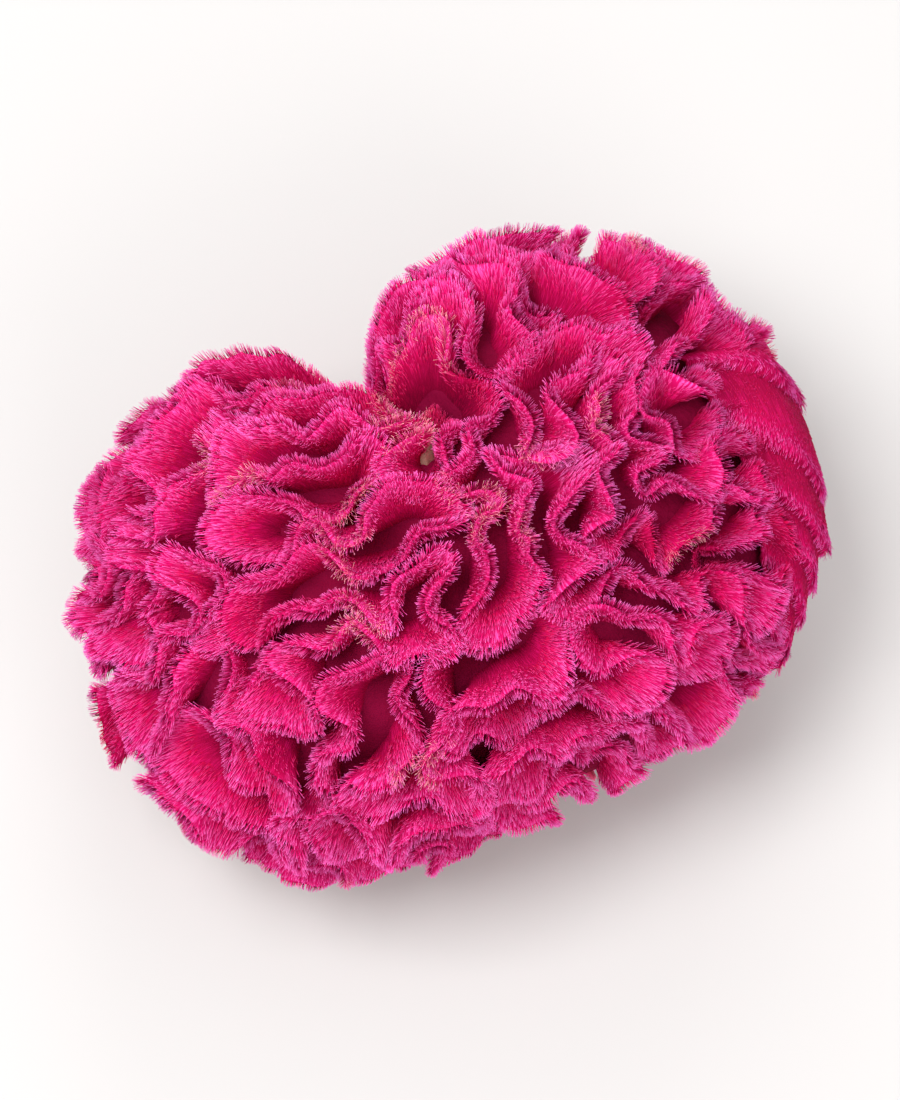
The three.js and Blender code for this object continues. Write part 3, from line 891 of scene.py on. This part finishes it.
creamTips = {  # pale, tousled tips
    "seed": 31,
    "wave": 42,
    "centre": (-14, 8, 48),  # they crowd about here
    "crowding": 1.6,
    "from": 1.35,  # where a patch of them sets in on the wave
    "edge": 2.5,  # how sharply it does
    "depth": (1.6, 2.2),  # their strength at the crown, and over how many millimetres down it loses 1
    "share": 0.65,
    "stray": 0.45,
    "thinner": 0.35,
}
draws = np.random.default_rng(plush["seed"])
creamWave = rimWave(creamTips["seed"], creamTips["wave"])
plushShare = np.concatenate([[0], np.cumsum(1 - plush["skirtBare"] * rimSkirt)])
plushShare = plushShare / plushShare[-1]
capArc = math.pi / 2 * (sheets["halfThickness"] * sheets["thinness"][1][1] + sheets["roundOver"]) / 2


def depthBelow(spot):  # how far below the crown a spot on the skin lies
    onCap = np.minimum(spot / capArc, 1) * math.pi / 2
    roundOver = sheets["roundOver"]
    return np.where(spot < capArc, roundOver * (1 - np.cos(onCap)), roundOver + spot - capArc)


def creamAt(i, spot, middle):
    near = nearTo(middle, *creamTips["centre"])
    top, fall = creamTips["depth"]
    patch = (creamWave[i] + near * creamTips["crowding"] - creamTips["from"]) * creamTips["edge"]
    cream = np.clip(patch, 0, 1) * np.clip(top - spot / fall, 0, 1)
    return cream * (draws.uniform(0, 1, len(i)) < creamTips["share"])


def makeBristles(name):
    count = plush["bristles"]
    at = np.interp(draws.uniform(0, 1, count), plushShare, np.arange(rimCount + 1))
    i = at.astype(int) % rimCount
    share = (at - np.floor(at))[:, None]
    ridge = draws.uniform(0, 1, count) < plush["onRidge"]
    spot = plush["reach"] * draws.uniform(0, 1, count) ** plush["crowding"]
    spot = np.where(ridge, capArc * draws.uniform(0, plush["ridgeReach"], count), spot)
    depth = depthBelow(spot)
    row = np.clip(np.searchsorted(sheetDepths, depth) - 1, 0, len(sheetDepths) - 2)
    rowShare = ((depth - sheetDepths[row]) / (sheetDepths[row + 1] - sheetDepths[row]))[:, None]

    def sample(grid):
        i2 = (i + 1) % rimCount
        near = grid[i, row] * (1 - rowShare) + grid[i, row + 1] * rowShare
        far = grid[i2, row] * (1 - rowShare) + grid[i2, row + 1] * rowShare
        return near * (1 - share) + far * share

    middle = sample(sheetMiddle)
    facing = unit(sample(sheetFacing))
    lean = (facing * rimUp[i]).sum(1)
    odds = 0.5 + plush["faceUp"] * lean * np.clip(spot / plush["faceUpFrom"], 0.3, 1)
    odds = np.clip(odds, plush["fewest"], 1 - plush["fewest"])
    side = np.where(draws.uniform(0, 1, count) < odds, 1.0, -1.0)
    facing = facing * side[:, None]
    upward = -unit(sample(sheetDown))
    along = unit(sample(sheetAlong))
    roots = middle + facing * (thicknessAt(depth) * plush["rooted"])[:, None]

    splay = np.interp(spot, plush["spots"], plush["splays"]) * (plush["steepSplay"] - np.abs(lean))
    uneven = draws.normal(0, 1, count)
    splay = np.radians(np.where(ridge, plush["ridgeLean"] * uneven, splay + plush["uneven"] * uneven))
    slow, bow, slower = plush["swayTurns"]
    sway = plush["sway"] * np.sin(at * slow + bow * np.sin(at * slower) + side)
    sideways = sway + draws.normal(0, plush["stray"], count)
    ways = upward * np.cos(splay)[:, None] + facing * np.sin(splay)[:, None] + along * sideways[:, None]
    cream = creamAt(i, spot, middle)
    ways = unit(ways + draws.normal(0, creamTips["stray"], (count, 3)) * cream[:, None])

    sunk = sheetHollow[i, row]
    lengths = np.interp(spot, plush["spots"], plush["lengths"]) * draws.uniform(*plush["lengthRange"], count)
    lengths = lengths * np.interp(middle[:, 2], plush["lowHeights"], (plush["lowLength"], 1))
    lengths = lengths * (1 - plush["hollowLength"] * sunk)
    values = {
        "tone": draws.uniform(0, 1, count),
        "cream": cream,
        "lilacHighlight": plush["lilacHighlight"] * sum(nearTo(middle, *place) for place in plush["lilacHighlightSpots"]),
        # painted shade: lighter at the crown, darker further down the fold and in a hollow
        "rise": np.clip(1 - spot / plush["reach"], 0, 1) * (1 - sunk),
    }
    lows = unit(facing + upward * plush["softLow"])
    highs = unit(facing * plush["softHigh"] + rimUp[i])
    thick = 1 - creamTips["thinner"] * cream
    return fineBristles(name, roots, ways, lengths, lows, highs, values, thick)


def makePlushMaterial():
    material, tree, inputs = newMaterial("plushBristles", 0.7, 0.05)
    names = ("tip", "tone", "rise", "cream", "lilacHighlight")
    tip, tone, rise, cream, lilacHighlight = [attribute(tree, name) for name in names]
    # Each bristle runs from dark at its root to light at its tip: partly its own colour, partly painted shade
    # down in the pile and a painted highlight on the tips
    pink = colourRamp(tree, tip, (0, 200, 2, 78), (0.5, 243, 28, 132), (1, 255, 136, 220))
    crimson = colourRamp(tree, tip, (0, 172, 2, 62), (0.5, 222, 10, 104), (1, 254, 94, 194))
    # Painted shade: a bristle is darkened the further down the fold and the deeper in a hollow it stands
    depth = colourRamp(tree, rise, (0, 190, 40, 92), (0.3, 236, 130, 170), (0.65, 255, 255, 255))
    tonedAndShaded = mixColour(tree, 0.85, mixColour(tree, tone, crimson, pink), depth, "MULTIPLY")
    patchy = groupNode(tree, mottle, Colour=tonedAndShaded, Tint=shade(200, 10, 84), Scale=38.0, Amount=0.35)
    creamy = colourRamp(tree, tip, (0, 200, 24, 92), (0.5, 232, 96, 130), (1, 252, 186, 186))
    # the painted lilac highlight on the tips of the upturned spots
    violetHighlight = colourRamp(tree, tip, (0, 232, 24, 140), (1, 255, 140, 232))
    creamed = mixColour(tree, cream, patchy, creamy)
    tree.links.new(mixColour(tree, lilacHighlight, creamed, violetHighlight), inputs["Base Color"])
    return material


plushMaterial = makePlushMaterial()


def fineBristles(name, roots, ways, lengths, lows, highs, values, thick):
    flank = unit(np.cross(ways, draws.normal(0, 1, (len(roots), 3))))
    tips = roots + ways * lengths[:, None]
    wide = flank * thick[:, None] * plush["rootWidth"] / 2
    narrow = np.cross(ways, flank) * thick[:, None] * plush["tipWidth"] / 2
    points = np.stack([roots + wide, roots - wide, tips + narrow, tips - narrow], 1).reshape(-1, 3)
    first = np.arange(len(roots))[:, None] * 4
    corners = ((0, 1, 2), (0, 3, 1), (0, 2, 3), (1, 3, 2))
    faces = np.concatenate([first + np.array(corner) for corner in corners])
    spread = {label: np.repeat(value, 4) for label, value in values.items()}
    spread["tip"] = np.tile([0, 0, 1, 1], len(roots))
    bristles = pieceFrom(name, points, faces, plushMaterial, spread)
    soft = np.stack([lows, lows, highs, highs], 1).reshape(-1, 3)
    bristles.data.normals_split_custom_set_from_vertices(soft)  # they take the light as one soft pile
    return bristles


for k in range(plush["pieces"]):
    makeBristles(f"crest_plush_{k + 1}")
print("plush:", plush["pieces"] * plush["bristles"], "bristles")


# The skirt: a sheet with broad pleats that comes out from under the main mass along one side.

skirtSheet = {
    "bearings": (-27, 34),
    "radius": 97,  # where the width of a pleat is measured
    "around": 260,
    "across": 30,
    "lowEdge": 103,  # degrees from the top
    "overlap": 1,  # how far past the valley it reaches inwards
    "tucked": 7,  # how deep the inner edge lies
    "level": -1.2,  # where its valleys lie, from the dome
    "rising": 0.3,  # share of its breadth over which it comes up from under the mass
    "endRise": 5,  # and degrees over which it does at either end
    "pleatWidth": 15,
    "pleat": 5.2,  # how far they stand out
    "pleatUneven": (0.5, 7),  # how far the pleats shift, and how often
    "slant": 0.15,  # share of a pleat that they shift on their way down
    "bow": 0.75,  # the pleats' edges hang down in the middle, in shares of a pleat
    "wobble": (0.05, 23, 31),  # and by a small wave down and round
    "drop": 0.18,  # share of a pleat that its steep edge takes
    "slope": 0.7,  # below 1 the pleat stays full for longer behind its edge
    "fullness": ((0, 0.3, 0.75, 1), (0.5, 1, 0.5, 0.04)),  # of the pleats, from the inner edge out
    "hem": (0.85, 0.15, 3),  # where the lower edge turns in, over how much, and how far
    "thickness": 1.2,
    "light": ((0, 0.12, 0.3, 0.7), (0.1, 0.9, 0.75, 0.45)),  # its colour over each pleat as painted light and shade: darkest at the foot of its steep edge, lightest just up it, fading down its long slope
    "bristles": 20000,
    "edge": ((0, 0.1, 0.3, 0.6), (0, 1, 0.6, 0)),  # how near a pleat's edge counts, by share of a pleat
    "fewest": 0.4,  # least share of them that stands anywhere
    "hair": (3.4, 1.0),  # at a pleat's edge and behind it
    "hairRange": (0.8, 1.1),
    "lowHair": 0.6,  # share of their length that they lose down to the hem
    "upright": (0.12, 0.3),  # least, and how much more at an edge
    "stray": 0.06,
}


def innerTilts(bearings, turn, edge):  # how far from the top, in radians, the sheet begins
    tilts = np.radians(np.linspace(0, 90, 181))
    starts = valleyAt(bearings) - skirtSheet["overlap"]
    inner = np.empty(len(turn))
    for k, angle in enumerate(turn):
        flat, high = edge[k] * np.sin(tilts), headShape["topHeight"] * np.cos(tilts)
        dome = ontoHead(np.stack([flat * math.cos(angle), flat * math.sin(angle), high], 1))
        inner[k] = np.interp(starts[k], np.hypot(dome[:, 0], dome[:, 1]), tilts)
    return inner


def pleatsAt(turn, across):  # a count of pleats: the whole part tells which, the rest where in it
    shift, often = skirtSheet["pleatUneven"]
    wobble, alongWaves, roundWaves = skirtSheet["wobble"]
    pleats = turn * skirtSheet["radius"] / skirtSheet["pleatWidth"]
    pleats = pleats + shift * np.sin(often * turn + 1) + skirtSheet["slant"] * across
    pleats = pleats + skirtSheet["bow"] * (1 - (2 * across - 1) ** 2)
    return pleats + wobble * np.sin(alongWaves * across + roundWaves * turn)


def pleatRise(pleats, across):
    which, share = np.floor(pleats), pleats % 1
    cheek = smoothStep(np.clip(share / skirtSheet["drop"], 0, 1)) * (1 - share) ** skirtSheet["slope"]
    size = 0.7 + 0.3 * np.sin(2.4 * which)  # no two pleats stand out alike
    size = size * (0.75 + 0.25 * np.sin(9 * across + 2.3 * which))
    size = size * np.interp(across, *skirtSheet["fullness"])
    return skirtSheet["pleat"] * size * cheek


def skirtGrid():
    bearings = np.linspace(*skirtSheet["bearings"], skirtSheet["around"])
    turn = np.radians(bearings)
    edge = outlineRadius(np.cos(turn), np.sin(turn))
    inner = innerTilts(bearings, turn, edge)[:, None]
    across = np.linspace(0, 1, skirtSheet["across"])[None]
    tilt = inner + (math.radians(skirtSheet["lowEdge"]) - inner) * across
    turn = turn[:, None]
    flat = edge[:, None] * np.sin(tilt)
    high = np.where(tilt < math.pi / 2, headShape["topHeight"], headShape["skirtDrop"]) * np.cos(tilt)
    points = ontoHead(np.stack([flat * np.cos(turn), flat * np.sin(turn), high], -1).reshape(-1, 3))
    normals = headNormal(points)
    pleats = pleatsAt(turn, across)
    fromEnd = np.minimum(np.abs(bearings - bearings[0]), np.abs(bearings[-1] - bearings))
    ends = np.clip(fromEnd / skirtSheet["endRise"], 0, 1)[:, None]
    rise = smoothStep(np.minimum(np.clip(across / skirtSheet["rising"], 0, 1), ends))
    out = rise * (skirtSheet["tucked"] + skirtSheet["level"]) - skirtSheet["tucked"]
    hemFrom, hemOver, hemIn = skirtSheet["hem"]
    out = out + pleatRise(pleats, across) - hemIn * np.clip((across - hemFrom) / hemOver, 0, 1) ** 2
    return points + normals * out.reshape(-1, 1), normals, pleats.ravel(), (across + 0 * turn).ravel()


skirtOuter, skirtNormals, skirtPleats, skirtAcross = skirtGrid()


def makeSkirt(material):
    rows, columns = skirtSheet["around"], skirtSheet["across"]
    points = np.concatenate([skirtOuter, skirtOuter - skirtNormals * skirtSheet["thickness"]])
    at = np.arange(rows - 1)[:, None] * columns + np.arange(columns - 1)[None]
    quads = np.stack([at, at + 1, at + columns + 1, at + columns], -1).reshape(-1, 4)
    half = rows * columns
    ring = np.concatenate([
        np.arange(columns),
        np.arange(1, rows) * columns + columns - 1,
        (rows - 1) * columns + np.arange(columns - 2, -1, -1),
        np.arange(rows - 2, 0, -1) * columns,
    ])
    onwards = np.roll(ring, -1)
    rim = np.stack([ring, ring + half, onwards + half, onwards], 1)
    faces = np.concatenate([quads, quads[:, ::-1] + half, rim])
    values = {
        # painted light and shade over each pleat, read by the velvet's colour ramps
        "rise": np.tile(np.interp(skirtPleats % 1, *skirtSheet["light"]), 2),
        "across": np.tile(skirtAcross * 60, 2),  # about millimetres
        "down": np.tile(skirtPleats * skirtSheet["pleatWidth"], 2),
    }
    piece = pieceFrom("crest_skirt", points, faces, material, values)
    return piece


def makeSkirtPlush():
    rows, columns, count = skirtSheet["around"], skirtSheet["across"], skirtSheet["bristles"]
    spots = draws.uniform(0, 1, (count, 2)) * (rows - 2.001, columns - 2.001)
    at = spots[:, 0].astype(int) * columns + spots[:, 1].astype(int)
    near = np.interp(skirtPleats[at] % 1, *skirtSheet["edge"])
    kept = draws.uniform(0, 1, count) < np.maximum(near, skirtSheet["fewest"])
    at, near, shares = at[kept], near[kept], spots[kept] % 1
    here = skirtOuter[at]
    outwards, aside = skirtOuter[at + 1] - here, skirtOuter[at + columns] - here
    roots = here + outwards * shares[:, 1:] + aside * shares[:, :1]
    facing = unit(np.cross(outwards, aside))
    facing = facing * np.sign((facing * skirtNormals[at]).sum(1))[:, None]
    steepOut = (skirtPleats[at + 1] - skirtPleats[at]) / lengthOf(outwards)
    steepAside = (skirtPleats[at + columns] - skirtPleats[at]) / lengthOf(aside)
    downPleat = -unit(unit(outwards) * steepOut[:, None] + unit(aside) * steepAside[:, None])
    count, stray = len(at), skirtSheet["stray"]
    least, more = skirtSheet["upright"]
    upright = least + more * near + draws.normal(0, stray, count)
    lifted = unit(facing * 0.3 + skirtNormals[at]) * upright[:, None]
    ways = unit(downPleat + lifted + draws.normal(0, stray, (count, 3)))
    values = {
        # Painted shade in the pleats: bristles away from a pleat's edge are held to the darker crimson and
        # darkened further; only those near an edge keep their random tone
        "tone": draws.uniform(0, 1, count) * near,
        "cream": np.zeros(count),
        "lilacHighlight": np.zeros(count),
        "rise": 0.1 + 0.8 * near,
    }
    lengths = np.interp(near, (0, 1), skirtSheet["hair"][::-1])
    lengths = lengths * draws.uniform(*skirtSheet["hairRange"], count)
    lengths = lengths * (1 - skirtSheet["lowHair"] * skirtAcross[at] ** 3)
    highs = unit(facing + skirtNormals[at])
    fineBristles("crest_skirt_plush", roots, ways, lengths, facing, highs, values, np.full(count, 0.95))


print("skirt:", len(makeSkirt(velvet).data.polygons), "faces")
makeSkirtPlush()


# The stalk: a flattened, ribbed stem that widens like a trumpet under the crest.

stalkForm = {
    "turn": math.radians(24),
    "halfWidth": 24,
    "halfDepth": 15,
    "neckHeight": 7,
    "mouthHeight": 18.3,
    "mouthShare": 0.6,  # of the head's outline
    "topHeight": 25,
    "topShare": 0.5,
    "ribs": 13,
    "ribDepth": 0.05,
    "around": 156,
    "flares": 12,  # rings up the trumpet
    "cutRim": 0.06,  # share of the radius
    "cutPith": 0.3,
    "cutDepth": 0.4,
    "cutInside": 0.97,  # share of the radius inside which the pith shows
    "smoothUnder": 50,
}


def onStalk(turn, height, share, lobes):
    own = turn - stalkForm["turn"]
    oval = 1 / np.hypot(np.cos(own) / stalkForm["halfWidth"], np.sin(own) / stalkForm["halfDepth"])
    lobed = outlineRadius(np.cos(turn), np.sin(turn)) * lobes
    rib = 1 + stalkForm["ribDepth"] * np.cos(stalkForm["ribs"] * own)
    radius = rib * (oval + (lobed - oval) * share)
    down = height - headShape["centre"][2] + 0 * turn
    return np.stack([radius * np.cos(turn), radius * np.sin(turn), down], 1)


def onTrumpet(turn, along):
    rise = (stalkForm["mouthHeight"] - stalkForm["neckHeight"]) * np.sin(along * math.pi / 2)
    height = stalkForm["neckHeight"] + rise
    return onStalk(turn, height, 1 - np.cos(along * math.pi / 2), stalkForm["mouthShare"])


def makeStack():  # a closed tube with a ring for each level: the cut, the neck, the flares and the top
    bpy.ops.mesh.primitive_circle_add(vertices=stalkForm["around"], radius=1, fill_type="NGON")
    stack = bpy.context.object
    bpy.ops.object.mode_set(mode="EDIT")
    bpy.ops.mesh.select_mode(type="EDGE")
    bpy.ops.mesh.select_all(action="SELECT")
    for _ in range(stalkForm["flares"] + 2):
        bpy.ops.mesh.extrude_edges_move(TRANSFORM_OT_translate={"value": (0, 0, 1)})
    bpy.ops.mesh.edge_face_add()
    bpy.ops.mesh.select_mode(type="FACE")
    bpy.ops.object.mode_set(mode="OBJECT")
    for face in stack.data.polygons:
        face.select = face.center.z < 0.01
    bpy.ops.object.mode_set(mode="EDIT")
    bpy.ops.mesh.inset(thickness=stalkForm["cutRim"], use_even_offset=False)
    bpy.ops.mesh.inset(thickness=stalkForm["cutPith"], use_even_offset=False)
    bpy.ops.mesh.poke()
    bpy.ops.mesh.select_all(action="SELECT")
    bpy.ops.mesh.normals_make_consistent(inside=False)
    bpy.ops.object.mode_set(mode="OBJECT")
    return pointsOf(stack)


def makeStalk(material):
    raw = makeStack()
    turn, level = np.arctan2(raw[:, 1], raw[:, 0]), raw[:, 2]
    inwards = np.minimum(np.hypot(raw[:, 0], raw[:, 1]), 1)
    flares, atCut = stalkForm["flares"], level < 0.5
    neck = onStalk(turn, 0.0, 0.0, 0.0)
    trumpet = onTrumpet(turn, np.clip((level - 1) / flares, 0, 1))
    top = onStalk(turn, stalkForm["topHeight"], 1.0, stalkForm["topShare"])
    points = np.where(atCut[:, None], neck, trumpet)
    points = np.where((level > flares + 1.5)[:, None], top, points)
    points[:, :2] *= inwards[:, None]
    points[:, 2] += np.where(inwards < stalkForm["cutInside"], stalkForm["cutDepth"], 0) * atCut
    values = {
        "inwards": np.where(atCut, inwards, 1),
        "across": (turn - stalkForm["turn"]) * (stalkForm["halfWidth"] + stalkForm["halfDepth"]) / 2,
        "high": level / flares,
    }
    return reshaped("stalk_stem", points, material, values, stalkForm["smoothUnder"])


def makeStemSkin():
    material, tree, inputs = newMaterial("stemSkin", 0.5, 0.35)
    high, across, inwards = [attribute(tree, name) for name in ("high", "across", "inwards")]
    skin = colourRamp(tree, high, (0, 150, 178, 92), (0.5, 178, 186, 116), (1, 200, 120, 120))
    ridge = groupNode(tree, combing, Across=across, Down=high, Per_millimetre=1.1)
    ribbed = mixColour(tree, ridge, skin, shade(206, 204, 150))
    patchy = groupNode(tree, mottle, Colour=ribbed, Tint=shade(170, 110, 100), Scale=80.0, Amount=0.3)
    pith = colourRamp(tree, inwards, (0, 226, 226, 190), (0.75, 206, 212, 160), (0.9, 150, 176, 96))
    inside = {0: inwards, 1: stalkForm["cutInside"]}
    isCut = addNode(tree, "ShaderNodeMath", inside, operation="LESS_THAN").outputs[0]
    tree.links.new(mixColour(tree, isCut, patchy, pith), inputs["Base Color"])
    tree.links.new(bumped(tree, ridge, 0.5, 0.0005), inputs["Normal"])
    return material


stalk = makeStalk(makeStemSkin())
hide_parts("stalk")
print("stalk:", len(stalk.data.polygons), "faces")


# The florets under the crest, in staggered rows from the neck to the skirt.

florets = {
    "seed": 12,
    "spacing": 4.3,
    "trumpetRows": (0.12, 1.0, 0.1),  # shares of the trumpet: first, end and step
    "skirtRows": (36, 66, 3.4),  # degrees up the underside, from straight down
    "finest": 720,  # points that each row is measured with
    "length": 6.8,
    "longRange": (0.8, 1.15),
    "halfWidth": 1.25,
    "wideRange": (0.85, 1.15),
    "rooted": 0.12,  # share of the length that is sunk in the skin
    "lean": 32,  # degrees off the skin
    "unevenLean": 7,
    "sway": 0.12,
    "roll": 0.3,
}


def makeFloret():  # one pointed bud, a unit long, that points up from the origin
    bpy.ops.mesh.primitive_uv_sphere_add(segments=5, ring_count=4, radius=1, location=(0, 0, 1))
    bud = bpy.context.object
    bpy.ops.object.transform_apply(location=True)
    bpy.ops.object.mode_set(mode="EDIT")
    bpy.ops.mesh.select_mode(type="VERT")
    bpy.ops.mesh.select_all(action="DESELECT")
    bpy.ops.object.mode_set(mode="OBJECT")
    for vertex in bud.data.vertices:
        vertex.select = vertex.co.z > 1.5
    bpy.ops.object.mode_set(mode="EDIT")
    bpy.ops.transform.resize(value=(0.6, 0.6, 1))
    bpy.ops.mesh.select_all(action="SELECT")
    bpy.ops.mesh.quads_convert_to_tris()
    bpy.ops.object.mode_set(mode="OBJECT")
    points = pointsOf(bud) * (1, 1, 0.5)
    faces = np.array([face.vertices[:] for face in bud.data.polygons])
    bpy.data.objects.remove(bud)
    return points, faces


def floretRings(turns):  # closed rings of places, and how far on from the neck each one is
    rings = []
    for along in np.arange(*florets["trumpetRows"]):
        rings.append((onTrumpet(turns, along + 0 * turns), along * 0.5))
    first, last, step = florets["skirtRows"]
    for up in np.arange(first, last, step):
        tilt = math.radians(up)
        across = outlineRadius(np.cos(turns), np.sin(turns)) * math.sin(tilt)
        drop = -headShape["skirtDrop"] * math.cos(tilt) + 0 * turns
        ring = ontoBed(np.stack([across * np.cos(turns), across * np.sin(turns), drop], 1))
        rings.append((ring, 0.5 + 0.5 * (up - first) / (last - first)))
    return rings


def floretSeats():  # seats, the way on from the neck, and how far along each one is
    seats, ways, alongs = [], [], []
    finest = florets["finest"]
    rings = floretRings(np.linspace(0, 2 * math.pi, finest, endpoint=False))
    for k, (ring, along) in enumerate(rings):
        onwards = rings[min(k + 1, len(rings) - 1)][0] - rings[max(k - 1, 0)][0]
        travelled = closedUp(ring)[1]
        count = round(travelled[-1] / florets["spacing"])
        at = (np.arange(count) + k % 2 / 2) * travelled[-1] / count
        spots = np.interp(at, travelled, np.arange(finest + 1)) % finest
        i, share = spots.astype(int), (spots % 1)[:, None]
        seats.append(ring[i] * (1 - share) + ring[(i + 1) % finest] * share)
        ways.append(onwards[i])
        alongs.append(np.full(count, along))
    return np.concatenate(seats), unit(np.concatenate(ways)), np.concatenate(alongs)


def makeFlorets(material):
    bud, budFaces = makeFloret()
    seats, ways, alongs = floretSeats()
    count = len(seats)
    rolls = np.random.default_rng(florets["seed"])
    outwards = unit(seats * (1, 1, 0))
    aside = unit(np.cross(outwards, (0, 0, 1)))
    facing = unit(np.cross(ways, aside))
    facing = facing * np.where(facing[:, 2:] > 0, -1, 1)
    lean = np.radians(florets["lean"] + rolls.normal(0, florets["unevenLean"], count))[:, None]
    sway = aside * rolls.normal(0, florets["sway"], (count, 1))
    axis = unit(ways * np.cos(lean) + facing * np.sin(lean) + sway)
    flank = unit(np.cross(axis, aside + florets["roll"] * rolls.normal(0, 1, (count, 3))))
    other = np.cross(axis, flank)
    long = florets["length"] * rolls.uniform(*florets["longRange"], count)[:, None, None]
    wide = florets["halfWidth"] * rolls.uniform(*florets["wideRange"], count)[:, None, None]
    shaped = (
        flank[:, None] * bud[None, :, :1] * wide
        + other[:, None] * bud[None, :, 1:2] * wide
        + axis[:, None] * (bud[None, :, 2:] - florets["rooted"]) * long
    )
    points = (seats[:, None] + shaped).reshape(-1, 3)
    faces = (np.arange(count)[:, None, None] * len(bud) + budFaces[None]).reshape(-1, 3)
    values = {
        "tip": np.tile(bud[:, 2], count),
        "along": np.repeat(alongs, len(bud)),
        "tone": np.repeat(rolls.uniform(0, 1, count), len(bud)),
    }
    return pieceFrom("stalk_florets", points, faces, material, values)


def makeChaff():
    material, tree, inputs = newMaterial("floretChaff", 0.42, 0.4)
    along, tip, tone = [attribute(tree, name) for name in ("along", "tip", "tone")]
    roots = ((0, 176, 184, 112), (0.45, 206, 170, 140), (0.75, 206, 90, 122), (1, 198, 36, 98))
    tips = ((0, 214, 210, 158), (0.45, 232, 200, 186), (0.75, 236, 140, 170), (1, 232, 80, 146))
    chaff = mixColour(tree, tip, colourRamp(tree, along, *roots), colourRamp(tree, along, *tips))
    toned = mixColour(tree, tone, chaff, shade(190, 120, 110), "SOFT_LIGHT")
    patchy = groupNode(tree, mottle, Colour=toned, Tint=shade(190, 60, 96), Scale=55.0, Amount=0.35)
    tree.links.new(patchy, inputs["Base Color"])
    return material


underFlorets = makeFlorets(makeChaff())
print("florets:", len(underFlorets.data.polygons), "faces")


# The floor, the lights and the camera.

studio = {
    "floorSize": 6,
    "floorHeight": -0.0002,
    "floorColour": (192, 190, 189),
    "elevation": 70,
    "distance": 0.9,
    "aim": (-0.0018, 0, 0.052),
    "tallView": 0.292,  # metres seen from top to bottom at that distance
    "sensor": 36,
    "lampsAim": (0, 0, 0.04),
    "sky": 0.8,
}
lamps = (
    {"name": "key", "place": (-0.45, -0.1, 1.15), "size": 0.6, "power": 14},
    {"name": "fill", "place": (0.55, -1.0, 0.7), "size": 1.0, "power": 9},
    {"name": "rim", "place": (0.1, 0.9, 0.6), "size": 0.6, "power": 4},
)


def aimed(item, place, target):
    item.location = place
    item.rotation_mode = "QUATERNION"
    item.rotation_quaternion = (Vector(place) - Vector(target)).to_track_quat("Z", "Y")


bpy.ops.mesh.primitive_plane_add(size=studio["floorSize"], location=(0, 0, studio["floorHeight"]))
floor = bpy.context.object
floor.name = "floor"
floorMaterial, _, floorInputs = newMaterial("paleFloor", 0.85, 0.2)
floorInputs["Base Color"].default_value = shade(*studio["floorColour"])
floor.data.materials.append(floorMaterial)
for lamp in lamps:
    bpy.ops.object.light_add(type="AREA")
    light = bpy.context.object
    light.name = lamp["name"]
    light.data.size = lamp["size"]
    light.data.energy = lamp["power"]
    aimed(light, lamp["place"], studio["lampsAim"])

bpy.ops.object.camera_add()
camera = bpy.context.object
bpy.context.scene.camera = camera
elevation = math.radians(studio["elevation"])
back = Vector((0, -math.cos(elevation), math.sin(elevation)))
aimed(camera, Vector(studio["aim"]) + back * studio["distance"], studio["aim"])
camera.data.sensor_width = studio["sensor"]
camera.data.lens = studio["sensor"] * studio["distance"] / studio["tallView"]

world = bpy.data.worlds.new("studioSky")
world.use_nodes = True
world.node_tree.nodes["Background"].inputs["Color"].default_value = (1, 1, 1, 1)
world.node_tree.nodes["Background"].inputs["Strength"].default_value = studio["sky"]
bpy.context.scene.world = world
bpy.context.scene.view_settings.view_transform = "Standard"
print("studio ready")
